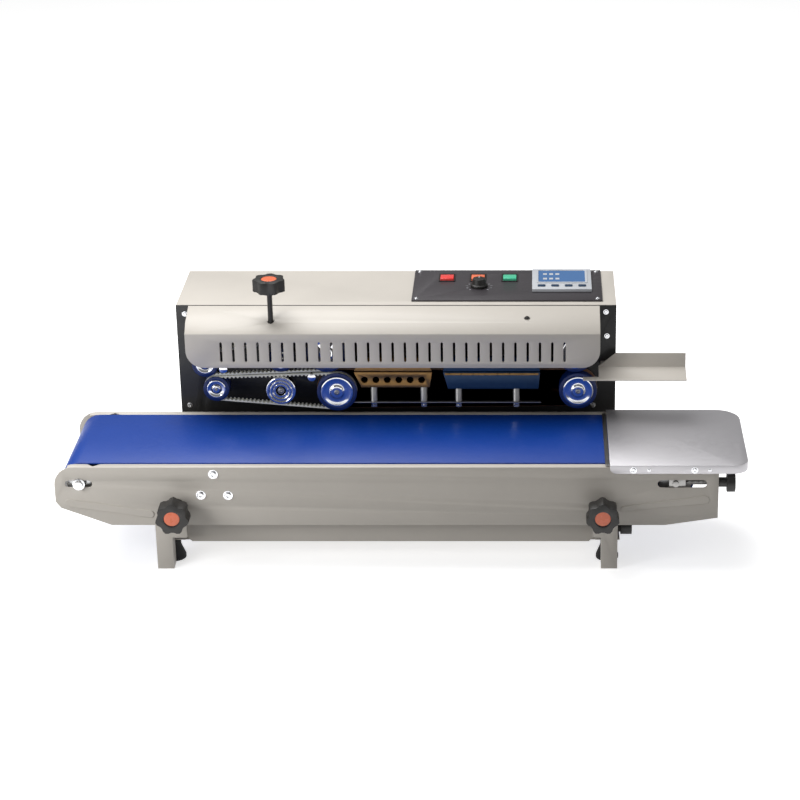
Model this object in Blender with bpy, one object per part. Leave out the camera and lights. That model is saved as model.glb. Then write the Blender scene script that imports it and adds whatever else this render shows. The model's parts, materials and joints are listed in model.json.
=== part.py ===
"""Continuous band sealer: a belt conveyor on two legs in front of a cabinet with a heated sealing head.

Run with: blender --background --python part.py
Metres, +Z up, +X along the conveyor, +Y from the operator's side to the back.
"""
import math

import bmesh
import bpy
from mathutils import Matrix, Vector

MM = 0.001

# Clearances
TOUCH = 0.3 * MM          # between pieces that touch
RUN = 0.5 * MM            # around a shaft, rod or switch that moves
SHEET = 1.5 * MM          # folded sheet metal

# Conveyor
PANEL_LENGTH = 804 * MM
PANEL_HEIGHT = 77 * MM
PANEL_BOTTOM = 60 * MM
BELT_WIDTH = 150 * MM
BELT_MARGIN = 11.5 * MM   # from a side panel's outer face to the belt's edge
BELT_THICKNESS = 2 * MM
BELT_RISE = 1 * MM        # belt's top above the panels' top flanges
ROLLER_RADIUS = 20.7 * MM
AXLE_RADIUS = 4 * MM
DRIVE_AXLE_INSET = 30 * MM
TAIL_AXLE_INSET = 52 * MM
TENSION_TRAVEL = 6 * MM
FLANGE_WIDTH = 10 * MM
END_PLATE_LENGTH = 168 * MM
END_PLATE_OVERHANG = 36 * MM
END_PLATE_DROP = 11 * MM
END_PLATE_SHEET = 1.2 * MM
MOTOR_FROM_LEG = 64.4 * MM                # gear motor's shaft to the right of the left leg
MOTOR_GAP = 0.9 * MM      # motor body to the belt's lower run
MOTOR_DROP = 5.6 * MM     # motor body's middle below the rollers' axles
SHAFT_DROP = 0.5 * MM     # its offset output shaft below them
PILLAR_OFFSET = 4.3 * MM  # pillars' circle outside the motor's body
SPROCKET_INSET = 6.7 * MM                 # driven sprocket's rim inside the roller's
MOTOR_SPROCKET_SETBACK = 13.2 * MM        # and the motor's sprocket's
CHAIN_THICKNESS = 1.8 * MM
CHAIN_WIDTH = 3.5 * MM

# Legs, clamps and feet
LEG_MIDDLE = -19.4 * MM
LEG_SPACING = 544 * MM
LEG_WIDTH = 20 * MM
LEG_DEPTH = 18 * MM
LEG_SHEET = 2 * MM
LEG_CHANNEL_HEIGHT = 56 * MM
LEG_HEAD_TOP = 101 * MM
CLAMP_INSETS = (17.2 * MM, -9.4 * MM)   # left and right clamp axis from its leg's middle
CLAMP_HEIGHT = 85 * MM
CLAMP_RADIUS = 20.5 * MM
CLAMP_DEPTH = 22 * MM
CLAMP_COLLAR = 15.7 * MM
CAP_RADIUS = 9.6 * MM     # orange caps and the seats they sit in
CAP_SEAT = 1.2 * MM
STUD_RADIUS = 3 * MM
KNOB_LOBES = 7
LOBE_DEPTH = 3.5 * MM
LIFT_UP = 4 * MM
LIFT_DOWN = 22 * MM
SLIDE_OUT = 30 * MM
FOOT_RADIUS = 14 * MM
FOOT_NECK = 8.5 * MM

# Base and cabinet
TRAY_INSETS = (20.4 * MM, 14.6 * MM)      # tray's ends inside the legs' middles
TRAY_SETBACK = 25 * MM    # tray's front behind the conveyor's front
BASE_FLOOR = 28 * MM
TRAY_WALL_TOP = 54 * MM
LIP_DROP = 2 * MM
LIP_CHAMFER = 10 * MM
CABINET_MIDDLE = -13.1 * MM
CABINET_WIDTH = 554.4 * MM
CABINET_DEPTH = 131.5 * MM
HEAD_ROOM = 25.1 * MM     # cabinet's top above the upper drive wheel
PLATE_STANDOFF = 15 * MM  # from the conveyor's back to the head's mounting plate
PLATE_SHEET = 2 * MM
REAR_COVER_DEPTH = 22.2 * MM
REAR_COVER_WIDTH = 420 * MM
REAR_COVER_HEIGHT = 150 * MM
FAN_RADIUS = 40 * MM
COVER_WIDTH = 517.2 * MM
COVER_MIDDLE = -15.7 * MM
COVER_RISE = 10.8 * MM                    # cover's lower edge above the nip
COVER_FOLDS = (10.6 * MM, 21.6 * MM)      # its two folds below the cabinet's top
VENT_RISE = 21 * MM                       # vents' middle above the cover's lower edge
COVER_CORNER = 22 * MM
VENT_COUNT = 29
VENT_PITCH = 15.3 * MM
VENT_HEIGHT = 27 * MM
VENT_WIDTH = 3 * MM

# Sealing head
HEAD_OVERHANG = 21 * MM   # wheels' faces in front of the conveyor's back
WHEEL_WIDTH = 22 * MM
SHAFT_RADIUS = 4 * MM
WHEEL_CLEARANCE = 9.6 * MM                # lower wheels above the conveyor belt
BAND_THICKNESS = 0.4 * MM
BAND_WIDTH = 10 * MM
TOOTHED_BELT_THICKNESS = 1.6 * MM
TOOTHED_BELT_WIDTH = 7 * MM
DRIVE_WHEEL_RADIUS = 25.3 * MM
TAIL_WHEEL_RADIUS = 23.9 * MM
GUIDE_WHEEL_RADIUS = 16.4 * MM
PRESS_WHEEL_RADIUS = 16 * MM
DRIVE_WHEEL_X = -87.8 * MM
UPPER_DRIVE_WHEEL_X = -99.6 * MM
TAIL_WHEEL_X = 215.8 * MM
UPPER_TAIL_WHEEL_X = 212 * MM
GUIDE_WHEEL_X = -239.6 * MM
UPPER_GUIDE_WHEEL_X = -252.2 * MM
EMBOSS_WHEEL_X = -158.3 * MM
GUIDE_MEET_DROP = 4.8 * MM                # where the guide wheels meet, below the nip
PRESS_LIFT = 3 * MM
TAB_RISE = 12 * MM        # bottom of a side panel's end tab, above the panel's
PANEL_CORNER = 24 * MM
NOSE_LENGTH, NOSE_TIP = 66 * MM, 6 * MM    # the slope under a side panel's left end
NOSE_BEND, NOSE_RISE = 23 * MM, 31 * MM
TOE_LENGTH, TOE_RISE = 63 * MM, 10 * MM    # the slope under its right end
DRIVE_SLOT = (-17 * MM, 16 * MM)           # ends of each axle's slot, from the axle
TAIL_SLOT = (-22 * MM, 38 * MM)
NOTCH_LEFT, NOTCH_TIP, NOTCH_RIGHT = 38 * MM, 48 * MM, 58 * MM   # V notch in the panel's flange
NOTCH_DEPTH = 3 * MM
KNOB_ROUND = 24           # sides of a small turned knob
COLLAR_RADIUS = 11 * MM   # clamp knob's collar
CLAMP_STUD = 8 * MM       # clamp stud's length behind the leg
MOTOR_SIDE = 34 * MM      # head motor: half its gearbox, and its can
MOTOR_GEARBOX = 30 * MM
MOTOR_CAN = 29 * MM
MOTOR_LENGTH = 80 * MM
TRAY_WALL = 60 * MM       # length of the base tray's side walls
COVER_BROW = 12 * MM      # belt cover's slope stops this far behind its face
ROD_HOLE_DEPTH = 35 * MM
FOOT_INSET = 20 * MM      # rear feet from the cabinet's edges
FRONT_FOOT_BACK = 10.5 * MM
FRONT_FOOT_OUT = 13 * MM
KNOB_RISE = 46.4 * MM     # pressure knob's top above the cabinet's
PRESSURE_KNOB_DEPTH = 15 * MM
BLOCK_DEPTH = 22 * MM
COOLING_BLOCK = (-66 * MM, 32 * MM)     # left and right ends
HEATING_BLOCK = (46 * MM, 168 * MM)
COOLING_DROP = 20.2 * MM                  # blocks' undersides below the nip
HEATING_DROP = 22.2 * MM
COOLING_HOLE_RADIUS = 4.4 * MM
UPPER_BLOCK_HEIGHT = 18 * MM
RAIL_DROP = 41.2 * MM
POST_RADIUS = 4.9 * MM
COOLING_POSTS = (24 * MM, 11 * MM)        # posts inside each block's ends
HEATING_POSTS = (19 * MM, 30 * MM)
RAIL_RIGHT = 169 * MM
RAIL_DEPTH = 30 * MM
GEAR_TEETH = 24
PINION_TEETH = 12
GEAR_WIDTH = 8 * MM
GUIDE_LEFT = 222 * MM
GUIDE_RIGHT = 352 * MM
GUIDE_RISES = (-6.8 * MM, -1.3 * MM, 17.6 * MM)      # lip, fold and top edge from the nip

# Control panel
PANEL_X = (5.5 * MM, 247 * MM)
PANEL_DEPTH = 114 * MM
CONTROL_PANEL_SETBACK = 14 * MM          # from the cabinet's front
PANEL_THICKNESS = 2 * MM
SWITCH_SIZE = (17 * MM, 25 * MM)         # along X and Y
SWITCH_X = (48 * MM, 88 * MM, 129 * MM)
SWITCH_TILT = math.radians(7)
SPEED_KNOB_X = 90 * MM
SPEED_KNOB_RADIUS = 10 * MM
SPEED_KNOB_HEIGHT = 11 * MM
SCREEN_X = (158 * MM, 234 * MM)
SCREEN_DEPTH = 77 * MM

# Places worked out from the sizes above
LEFT = -(PANEL_LENGTH + END_PLATE_OVERHANG) / 2
PANEL_RIGHT = LEFT + PANEL_LENGTH
PANEL_TOP = PANEL_BOTTOM + PANEL_HEIGHT
BELT_TOP = PANEL_TOP + BELT_RISE
NIP_HEIGHT = BELT_TOP + WHEEL_CLEARANCE + 2 * DRIVE_WHEEL_RADIUS      # top of the lower wheels
DEPTH_MIDDLE = -65.5 * MM
FRONT = DEPTH_MIDDLE - BELT_WIDTH / 2 - BELT_MARGIN
BACK = DEPTH_MIDDLE + BELT_WIDTH / 2 + BELT_MARGIN
BELT_FRONT = FRONT + BELT_MARGIN
BELT_BACK = BACK - BELT_MARGIN
DRIVE_AXLE_X = LEFT + DRIVE_AXLE_INSET
TAIL_AXLE_X = PANEL_RIGHT - TAIL_AXLE_INSET
AXLE_Z = BELT_TOP - BELT_THICKNESS - TOUCH - ROLLER_RADIUS
BELT_INNER_RADIUS = ROLLER_RADIUS + TOUCH
DRIVEN_SPROCKET_RADIUS = ROLLER_RADIUS - SPROCKET_INSET
MOTOR_SPROCKET_RADIUS = ROLLER_RADIUS - MOTOR_SPROCKET_SETBACK
MOTOR_RADIUS = BELT_INNER_RADIUS - MOTOR_DROP - MOTOR_GAP
PILLAR_CIRCLE = MOTOR_RADIUS + PILLAR_OFFSET
HEAD_FRONT = BACK - HEAD_OVERHANG
HEAD_BACK = HEAD_FRONT + WHEEL_WIDTH
PLATE_FRONT = BACK + PLATE_STANDOFF
PLATE_BACK = PLATE_FRONT + PLATE_SHEET
CABINET_LEFT = CABINET_MIDDLE - CABINET_WIDTH / 2
CABINET_RIGHT = CABINET_MIDDLE + CABINET_WIDTH / 2
CABINET_BACK = PLATE_FRONT + CABINET_DEPTH
FLOOR_TOP = BASE_FLOOR + SHEET
TRAY_FRONT = FRONT + TRAY_SETBACK
LEG_FRONT = FRONT + SHEET + TOUCH
ROLLER_INSET = BELT_MARGIN - 1 * MM      # from a panel's outer face to a roller's end
CHAIN_FRONT = FRONT + 6.2 * MM
TENSION_INSET = (SHEET + ROLLER_INSET) / 2
SIDE_STUD_Y = TRAY_FRONT + 8 * MM
SIDE_STUD_Z = 43 * MM
EAR_LENGTH = 28 * MM
LEGS = ((LEG_MIDDLE - LEG_SPACING / 2, CLAMP_INSETS[0], "left"),
        (LEG_MIDDLE + LEG_SPACING / 2, CLAMP_INSETS[1], "right"))
TRAY_LEFT = LEGS[0][0] + TRAY_INSETS[0]
TRAY_RIGHT = LEGS[1][0] - TRAY_INSETS[1]
LOWER_BAND_Z = NIP_HEIGHT + TOUCH
UPPER_BAND_Z = LOWER_BAND_Z + BAND_THICKNESS + TOUCH
UPPER_WHEEL_BOTTOM = UPPER_BAND_Z + BAND_THICKNESS + TOUCH
CABINET_TOP = UPPER_WHEEL_BOTTOM + 2 * DRIVE_WHEEL_RADIUS + HEAD_ROOM
KNOB_TOP = CABINET_TOP + KNOB_RISE
COVER_BOTTOM = NIP_HEIGHT + COVER_RISE
VENT_CENTRE = COVER_BOTTOM + VENT_RISE
RAIL_TOP = NIP_HEIGHT - RAIL_DROP
COOLING_BOTTOM = NIP_HEIGHT - COOLING_DROP
HEATING_BOTTOM = NIP_HEIGHT - HEATING_DROP
GUIDE_MEET = NIP_HEIGHT - GUIDE_MEET_DROP
DRIVE_WHEEL = (DRIVE_WHEEL_X, NIP_HEIGHT - DRIVE_WHEEL_RADIUS)
UPPER_DRIVE_WHEEL = (UPPER_DRIVE_WHEEL_X, UPPER_WHEEL_BOTTOM + DRIVE_WHEEL_RADIUS)
TAIL_WHEEL = (TAIL_WHEEL_X, NIP_HEIGHT - TAIL_WHEEL_RADIUS)
UPPER_TAIL_WHEEL = (UPPER_TAIL_WHEEL_X, UPPER_WHEEL_BOTTOM + TAIL_WHEEL_RADIUS)
GUIDE_WHEEL = (GUIDE_WHEEL_X, GUIDE_MEET - GUIDE_WHEEL_RADIUS)
UPPER_GUIDE_WHEEL = (UPPER_GUIDE_WHEEL_X, GUIDE_MEET + GUIDE_WHEEL_RADIUS)
CONTROL_FRONT = PLATE_FRONT + CONTROL_PANEL_SETBACK
CONTROL_BACK = CONTROL_FRONT + PANEL_DEPTH
PANEL_FACE = CABINET_TOP + TOUCH + PANEL_THICKNESS
SWITCH_Y = CONTROL_FRONT + 83 * MM
SPEED_KNOB_Y = CONTROL_FRONT + 50 * MM
SCREEN_MIDDLE = ((SCREEN_X[0] + SCREEN_X[1]) / 2, CONTROL_FRONT + 67.5 * MM)
SCREEN_HALF = 34 * MM     # half of the controller's body under its bezel
REAR_LEFT = CABINET_MIDDLE - REAR_COVER_WIDTH / 2
REAR_RIGHT = CABINET_MIDDLE + REAR_COVER_WIDTH / 2
REAR_BOTTOM = 75 * MM
FAN = (REAR_LEFT + 60 * MM, REAR_BOTTOM + REAR_COVER_HEIGHT / 2)
LOUVRES = (REAR_LEFT + 150 * MM, REAR_RIGHT - 30 * MM)
INLET_X, INLET_Z = CABINET_RIGHT - 30 * MM, 52 * MM
INLET_HALF = (14 * MM, 10 * MM)
COVER_FRONT = HEAD_FRONT - 9 * MM
COVER_SHEET = 1.5 * MM
GROOVE_INSET = 2 * MM     # from a wheel's face to its groove
TOOTHED_RADII = (GUIDE_WHEEL_RADIUS - TOOTHED_BELT_THICKNESS - TOUCH,
                 DRIVE_WHEEL_RADIUS - TOOTHED_BELT_THICKNESS - TOUCH)
BOSS_RADIUS = 9 * MM
GEAR_FRONT = PLATE_BACK + 7 * MM
RAIL = (DRIVE_WHEEL[0] + math.sqrt((DRIVE_WHEEL_RADIUS + TOUCH) ** 2 - (DRIVE_WHEEL[1] - RAIL_TOP) ** 2),
        RAIL_RIGHT)
EMBOSS_SHARE = (EMBOSS_WHEEL_X - GUIDE_WHEEL_X) / (DRIVE_WHEEL_X - GUIDE_WHEEL_X)      # from guide to drive
EMBOSS_WHEEL_RADIUS = TOOTHED_RADII[0] + (TOOTHED_RADII[1] - TOOTHED_RADII[0]) * EMBOSS_SHARE - 2 * TOUCH
GEAR_RADIUS = math.dist(DRIVE_WHEEL, UPPER_DRIVE_WHEEL) / 2
PINION = (DRIVE_WHEEL[0], DRIVE_WHEEL[1] - GEAR_RADIUS * (1 + PINION_TEETH / GEAR_TEETH))
COOLING_HOLES = 6
COOLING_END = 13 * MM     # from a cooling block's end to its first hole
ROD_RADIUS = 3.2 * MM
PRESS_ROD = (-168 * MM, HEAD_FRONT + 6 * MM)
ROD_END = CABINET_TOP - 25.6 * MM
CLEAR = 2 * MM            # between pieces that pass each other
ROUND = 24                # sides of a large round piece
SMALL_ROUND = 12          # sides of a small one

# Finishes: sRGB colour, roughness, metallic
FINISHES = {
    "beige_paint": ((205, 199, 190), 0.45, 0.0),
    "black_paint": ((18, 18, 19), 0.5, 0.0),
    "black_plastic": ((24, 23, 22), 0.4, 0.0),
    "orange_plastic": ((240, 128, 92), 0.4, 0.0),
    "black_rubber": ((20, 20, 20), 0.75, 0.0),
    "belt_blue": ((4, 60, 150), 0.25, 0.0),
    "wheel_blue": ((14, 52, 140), 0.35, 0.0),
    "belt_white": ((196, 196, 186), 0.6, 0.0),
    "band_brown": ((120, 86, 66), 0.5, 0.0),
    "stainless": ((170, 170, 172), 0.25, 1.0),
    "steel": ((150, 150, 150), 0.35, 1.0),
    "chrome": ((215, 216, 220), 0.12, 1.0),
    "brass": ((176, 136, 84), 0.35, 1.0),
    "blued_steel": ((36, 66, 104), 0.35, 0.6),
    "aluminium": ((180, 182, 184), 0.4, 1.0),
    "red_plastic": ((224, 74, 72), 0.35, 0.0),
    "green_plastic": ((70, 178, 140), 0.35, 0.0),
    "silver_plastic": ((194, 197, 203), 0.4, 0.0),
}


# ---------------------------------------------------------------- outlines

def arc(centre, radius, start, end, steps):
    """Points along an arc, with angles in degrees."""
    points = []
    for step in range(steps + 1):
        angle = math.radians(start + (end - start) * step / steps)
        points.append((centre[0] + radius * math.cos(angle), centre[1] + radius * math.sin(angle)))
    return points


def circle(centre, radius, sides=SMALL_ROUND):
    """Points of a full circle."""
    return arc(centre, radius, 0, 360, sides)[:-1]


def rectangle(left, right, bottom, top):
    """Corners of an upright rectangle."""
    return [(left, bottom), (right, bottom), (right, top), (left, top)]


def long_slot(left, right, middle, radius, steps=6):
    """A slot with round ends that runs along the outline's first axis."""
    return (arc((right - radius, middle), radius, -90, 90, steps)
            + arc((left + radius, middle), radius, 90, 270, steps))


def turned(points):
    """The same outline with its two axes swapped."""
    return [(second, first) for first, second in points]


def loop_round(first, first_radius, second, second_radius, steps=12):
    """A belt's outline round two pulleys, along their outer tangents."""
    run_x, run_y = second[0] - first[0], second[1] - first[1]
    heading = math.degrees(math.atan2(run_y, run_x))
    spread = math.degrees(math.acos((first_radius - second_radius) / math.hypot(run_x, run_y)))
    return (arc(first, first_radius, heading + spread, heading + 360 - spread, steps)
            + arc(second, second_radius, heading - spread, heading + spread, steps))


def lobed(centre, radius, depth, lobes, sides):
    """A star knob's outline."""
    points = []
    for step in range(sides):
        angle = math.tau * step / sides
        reach = radius - depth * (1 - math.cos(lobes * angle)) / 2
        points.append((centre[0] + reach * math.sin(angle), centre[1] + reach * math.cos(angle)))
    return points


def gear_outline(centre, pitch_radius, teeth, first_tooth):
    """A gear's outline with straight-sided teeth, one of them at the given angle in degrees."""
    points = []
    tip, root = pitch_radius + 1.5 * MM, pitch_radius - 2.2 * MM
    for tooth in range(teeth):
        for share, radius in ((-0.32, root), (-0.13, tip), (0.13, tip), (0.32, root)):
            angle = math.radians(first_tooth) + math.tau * (tooth + share) / teeth
            points.append((centre[0] + radius * math.cos(angle), centre[1] + radius * math.sin(angle)))
    return points


def run_height(ends, radii, x, side):
    """The height of a belt's upper (1) or lower (-1) straight run at x, for inner radii round two wheels."""
    heading = math.atan2(ends[1][1] - ends[0][1], ends[1][0] - ends[0][0])
    spread = math.acos((radii[0] - radii[1]) / math.dist(*ends))
    angle = heading + side * spread
    start, end = ((centre[0] + radius * math.cos(angle), centre[1] + radius * math.sin(angle))
                  for centre, radius in zip(ends, radii))
    return start[1] + (end[1] - start[1]) * (x - start[0]) / (end[0] - start[0])


EMBOSS_RUNS = [run_height((GUIDE_WHEEL, DRIVE_WHEEL), TOOTHED_RADII, EMBOSS_WHEEL_X, side)
               for side in (1, -1)]
EMBOSS_WHEEL = (EMBOSS_WHEEL_X, sum(EMBOSS_RUNS) / 2)
PRESS_WHEEL_X = EMBOSS_WHEEL_X + 1 * MM
PRESS_WHEEL = (PRESS_WHEEL_X, PRESS_WHEEL_RADIUS + 2 * TOUCH
               + run_height((UPPER_GUIDE_WHEEL, UPPER_DRIVE_WHEEL), TOOTHED_RADII, PRESS_WHEEL_X, -1))


# ---------------------------------------------------------------- solids

def placed(point, height, axis):
    """An outline's point as a place in space, at a height along the axis."""
    first, second = point
    return {"X": (height, first, second), "Y": (first, height, second), "Z": (first, second, height)}[axis]


def prism(outline, axis, low, high, inner=None):
    """A closed outline carried along an axis; an inner outline with as many points leaves a hole."""
    mesh = bmesh.new()
    rings = []
    for points in ((outline,) if inner is None else (outline, inner)):
        rings.append([[mesh.verts.new(placed(point, height, axis)) for point in points]
                      for height in (low, high)])
    for start, end in rings:
        for number in range(len(start)):
            following = (number + 1) % len(start)
            mesh.faces.new((start[number], start[following], end[following], end[number]))
    for side in (0, 1):
        if inner is None:
            mesh.faces.new(rings[0][side])
            continue
        outside, inside = rings[0][side], rings[1][side]
        for number in range(len(outside)):
            following = (number + 1) % len(outside)
            mesh.faces.new((outside[number], outside[following], inside[following], inside[number]))
    bmesh.ops.recalc_face_normals(mesh, faces=mesh.faces)
    return mesh


def block(x_range, y_range, z_range):
    """A box between two limits on each axis."""
    return prism(rectangle(*x_range, *y_range), "Z", *z_range)


def lathe(profile, axis, centre, sides=ROUND):
    """A closed profile of (radius, place along the axis) turned about an axis through the centre."""
    mesh = bmesh.new()
    points = [mesh.verts.new((radius, 0, along)) for radius, along in profile]
    edges = [mesh.edges.new(pair) for pair in zip(points, points[1:])]
    if profile[0][0] > 0:
        edges.append(mesh.edges.new((points[-1], points[0])))
    bmesh.ops.spin(mesh, geom=points + edges, cent=(0, 0, 0), axis=(0, 0, 1), angle=math.tau,
                   steps=sides, use_merge=True)
    bmesh.ops.remove_doubles(mesh, verts=mesh.verts, dist=0.001 * MM)
    bmesh.ops.recalc_face_normals(mesh, faces=mesh.faces)
    turn = {"X": Matrix.Rotation(math.radians(90), 4, "Y"), "Y": Matrix.Rotation(math.radians(-90), 4, "X"),
            "Z": Matrix.Identity(4)}[axis]
    bmesh.ops.transform(mesh, matrix=Matrix.Translation(placed(centre, 0, axis)) @ turn, verts=mesh.verts)
    return mesh


def rod(axis, centre, radius, low, high, sides=SMALL_ROUND):
    """A plain round bar."""
    return prism(circle(centre, radius, sides), axis, low, high)


def merged(meshes):
    """Several separate solids in one mesh, to cut with."""
    whole = bmesh.new()
    for mesh in meshes:
        step = bpy.data.meshes.new("step")
        mesh.to_mesh(step)
        mesh.free()
        whole.from_mesh(step)
        bpy.data.meshes.remove(step)
    return whole


# ---------------------------------------------------------------- nodes

def linear(colour):
    """An sRGB colour as linear values with alpha."""
    return tuple((part / 255) ** 2.2 for part in colour) + (1.0,)


def finish(name):
    """The Principled material of a finish, made on its first use."""
    if name in bpy.data.materials:
        return bpy.data.materials[name]
    colour, roughness, metallic = FINISHES[name]
    material = bpy.data.materials.new(name)
    material.use_nodes = True
    shader = material.node_tree.nodes["Principled BSDF"]
    shader.inputs["Base Color"].default_value = linear(colour)
    shader.inputs["Roughness"].default_value = roughness
    shader.inputs["Metallic"].default_value = metallic
    material.diffuse_color = linear(colour)
    return material


def as_object(name, mesh, origin, parent):
    """A mesh made in world places as an object with its origin at the given point."""
    bmesh.ops.translate(mesh, vec=-Vector(origin), verts=mesh.verts)
    data = bpy.data.meshes.new(name)
    mesh.to_mesh(data)
    mesh.free()
    data.shade_smooth()
    data.set_sharp_from_angle(angle=math.radians(32))
    item = bpy.data.objects.new(name, data)
    bpy.context.scene.collection.objects.link(item)
    item.parent = parent
    item.location = Vector(origin) - (Vector(parent["place"]) if parent else Vector((0, 0, 0)))
    return item


def as_tool(name, mesh, origin, parent):
    """A hidden solid that adds to or cuts from a body."""
    tool = as_object(name, mesh, origin, parent)
    tool.hide_render = True
    tool.display_type = "WIRE"
    return tool


def node(name, look, solids, cuts=(), origin=(0, 0, 0), parent=None):
    """One sub-part: its solids joined into one, with the cuts taken out."""
    body = as_object(name, solids[0], origin, parent)
    body.data.materials.append(finish(look))
    for operation, meshes in (("UNION", solids[1:]), ("DIFFERENCE", cuts)):
        for number, mesh in enumerate(meshes):
            tool = as_tool(f"{name}_{operation.lower()}_{number}", mesh, origin, parent)
            modifier = body.modifiers.new(tool.name, "BOOLEAN")
            modifier.operation = operation
            modifier.object = tool
    return body


def frame(name, place, parent=None):
    """An empty that carries the pieces that move together."""
    empty = bpy.data.objects.new(name, None)
    bpy.context.scene.collection.objects.link(empty)
    empty["place"] = Vector(place)
    empty.parent = parent
    empty.location = Vector(place) - (Vector(parent["place"]) if parent else Vector((0, 0, 0)))
    return empty


# ---------------------------------------------------------------- conveyor

def side_panel(name, side, parent):
    """A folded side panel; side is -1 for the operator's side and 1 for the back."""
    def across(depth):
        return DEPTH_MIDDLE + side * (BACK - DEPTH_MIDDLE - depth)
    low, high = sorted((across(-CLEAR), across(BELT_MARGIN + CLEAR)))
    profile = [(across(depth), height) for depth, height in (
        (0, PANEL_BOTTOM), (FLANGE_WIDTH, PANEL_BOTTOM), (FLANGE_WIDTH, PANEL_BOTTOM + SHEET),
        (SHEET, PANEL_BOTTOM + SHEET), (SHEET, PANEL_TOP - SHEET), (FLANGE_WIDTH, PANEL_TOP - SHEET),
        (FLANGE_WIDTH, PANEL_TOP), (0, PANEL_TOP))]
    end_tab = block((PANEL_RIGHT - SHEET, PANEL_RIGHT), sorted((across(SHEET / 2), across(FLANGE_WIDTH))),
                    (PANEL_BOTTOM + TAB_RISE, PANEL_TOP - SHEET / 2))
    corner = PANEL_CORNER
    cuts = [
        prism([(LEFT - CLEAR, PANEL_TOP + CLEAR), (LEFT - CLEAR, PANEL_TOP - corner)]
              + arc((LEFT + corner, PANEL_TOP - corner), corner, 180, 90, 8)
              + [(LEFT + corner, PANEL_TOP + CLEAR)], "Y", low, high),
        prism([(LEFT - CLEAR, PANEL_BOTTOM - CLEAR), (LEFT + NOSE_LENGTH, PANEL_BOTTOM - CLEAR),
               (LEFT + NOSE_LENGTH, PANEL_BOTTOM), (LEFT + NOSE_TIP, PANEL_BOTTOM + NOSE_BEND),
               (LEFT, PANEL_BOTTOM + NOSE_RISE), (LEFT - CLEAR, PANEL_BOTTOM + NOSE_RISE)], "Y", low, high),
        prism([(PANEL_RIGHT - TOE_LENGTH, PANEL_BOTTOM), (PANEL_RIGHT - TOE_LENGTH, PANEL_BOTTOM - CLEAR),
               (PANEL_RIGHT + CLEAR, PANEL_BOTTOM - CLEAR), (PANEL_RIGHT + CLEAR, PANEL_BOTTOM + TOE_RISE)],
              "Y", low, high),
        prism(long_slot(*(DRIVE_AXLE_X + end for end in DRIVE_SLOT), AXLE_Z, AXLE_RADIUS + RUN),
              "Y", low, high),
        prism(long_slot(*(TAIL_AXLE_X + end for end in TAIL_SLOT), AXLE_Z, AXLE_RADIUS + 2 * RUN),
              "Y", *sorted((across(-CLEAR), across(SHEET + CLEAR)))),
        rod("X", (across(TENSION_INSET), AXLE_Z), STUD_RADIUS + RUN, PANEL_RIGHT - CLEAR - SHEET,
            PANEL_RIGHT + CLEAR),
        prism([(LEFT + NOTCH_LEFT, across(FLANGE_WIDTH + CLEAR)),
               (LEFT + NOTCH_RIGHT, across(FLANGE_WIDTH + CLEAR)),
               (LEFT + NOTCH_TIP, across(NOTCH_DEPTH))], "Z", PANEL_TOP - SHEET - CLEAR, PANEL_TOP + CLEAR),
    ]
    if side < 0:
        for middle, inset, _ in LEGS:
            cuts.append(rod("Y", (middle + inset, CLAMP_HEIGHT), STUD_RADIUS + RUN, low, FRONT + 2 * SHEET))
            reach = LEG_WIDTH / 2 + abs(inset) + CLEAR
            cuts.append(block((middle - reach, middle + reach), (FRONT + SHEET, high),
                              (PANEL_BOTTOM - CLEAR, PANEL_BOTTOM + SHEET + CLEAR)))
    return node(name, "beige_paint", [prism(profile, "X", LEFT, PANEL_RIGHT), end_tab], cuts, parent=parent)


def conveyor_belt(parent):
    """The flat endless belt round both rollers."""
    rollers = (DRIVE_AXLE_X, AXLE_Z), (TAIL_AXLE_X, AXLE_Z)
    outer = BELT_INNER_RADIUS + BELT_THICKNESS
    node("conveyor_belt", "belt_blue", [prism(loop_round(rollers[0], outer, rollers[1], outer), "Y",
         BELT_FRONT, BELT_BACK, loop_round(rollers[0], BELT_INNER_RADIUS, rollers[1], BELT_INNER_RADIUS))],
         parent=parent)


def bed_plate(parent):
    """The folded sheet under the belt's top run, which ties the two panels together."""
    top, skirt, sheet = PANEL_TOP - SHEET - TOUCH, 10 * MM, 1.2 * MM
    low, high = FRONT + SHEET + TOUCH, BACK - SHEET - TOUCH
    profile = [(low, top - skirt), (low, top), (high, top), (high, top - skirt), (high - sheet, top - skirt),
               (high - sheet, top - sheet), (low + sheet, top - sheet), (low + sheet, top - skirt)]
    reach = BELT_INNER_RADIUS + 2 * CLEAR
    motor_x = LEGS[0][0] + MOTOR_FROM_LEG
    notch = block((motor_x - 6 * MM, motor_x + 6 * MM), (low - CLEAR, low + sheet + CLEAR),
                  (top - skirt - CLEAR, top - sheet))
    node("bed_plate", "stainless", [prism(profile, "X", DRIVE_AXLE_X + reach,
         TAIL_AXLE_X - reach - TENSION_TRAVEL)], [notch], parent=parent)


def drive_roller(parent):
    """The driven roller with its sprocket at the operator's side."""
    bore, hub = AXLE_RADIUS + RUN, 9 * MM
    low, high = FRONT + ROLLER_INSET, BACK - ROLLER_INSET
    profile = [(bore, CHAIN_FRONT), (DRIVEN_SPROCKET_RADIUS, CHAIN_FRONT),
               (DRIVEN_SPROCKET_RADIUS, CHAIN_FRONT + CHAIN_WIDTH), (hub, CHAIN_FRONT + CHAIN_WIDTH),
               (hub, low), (ROLLER_RADIUS, low), (ROLLER_RADIUS, high), (bore, high)]
    node("drive_roller", "aluminium", [lathe(profile, "Y", (DRIVE_AXLE_X, AXLE_Z))],
         origin=(DRIVE_AXLE_X, DEPTH_MIDDLE, AXLE_Z), parent=parent)


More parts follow.
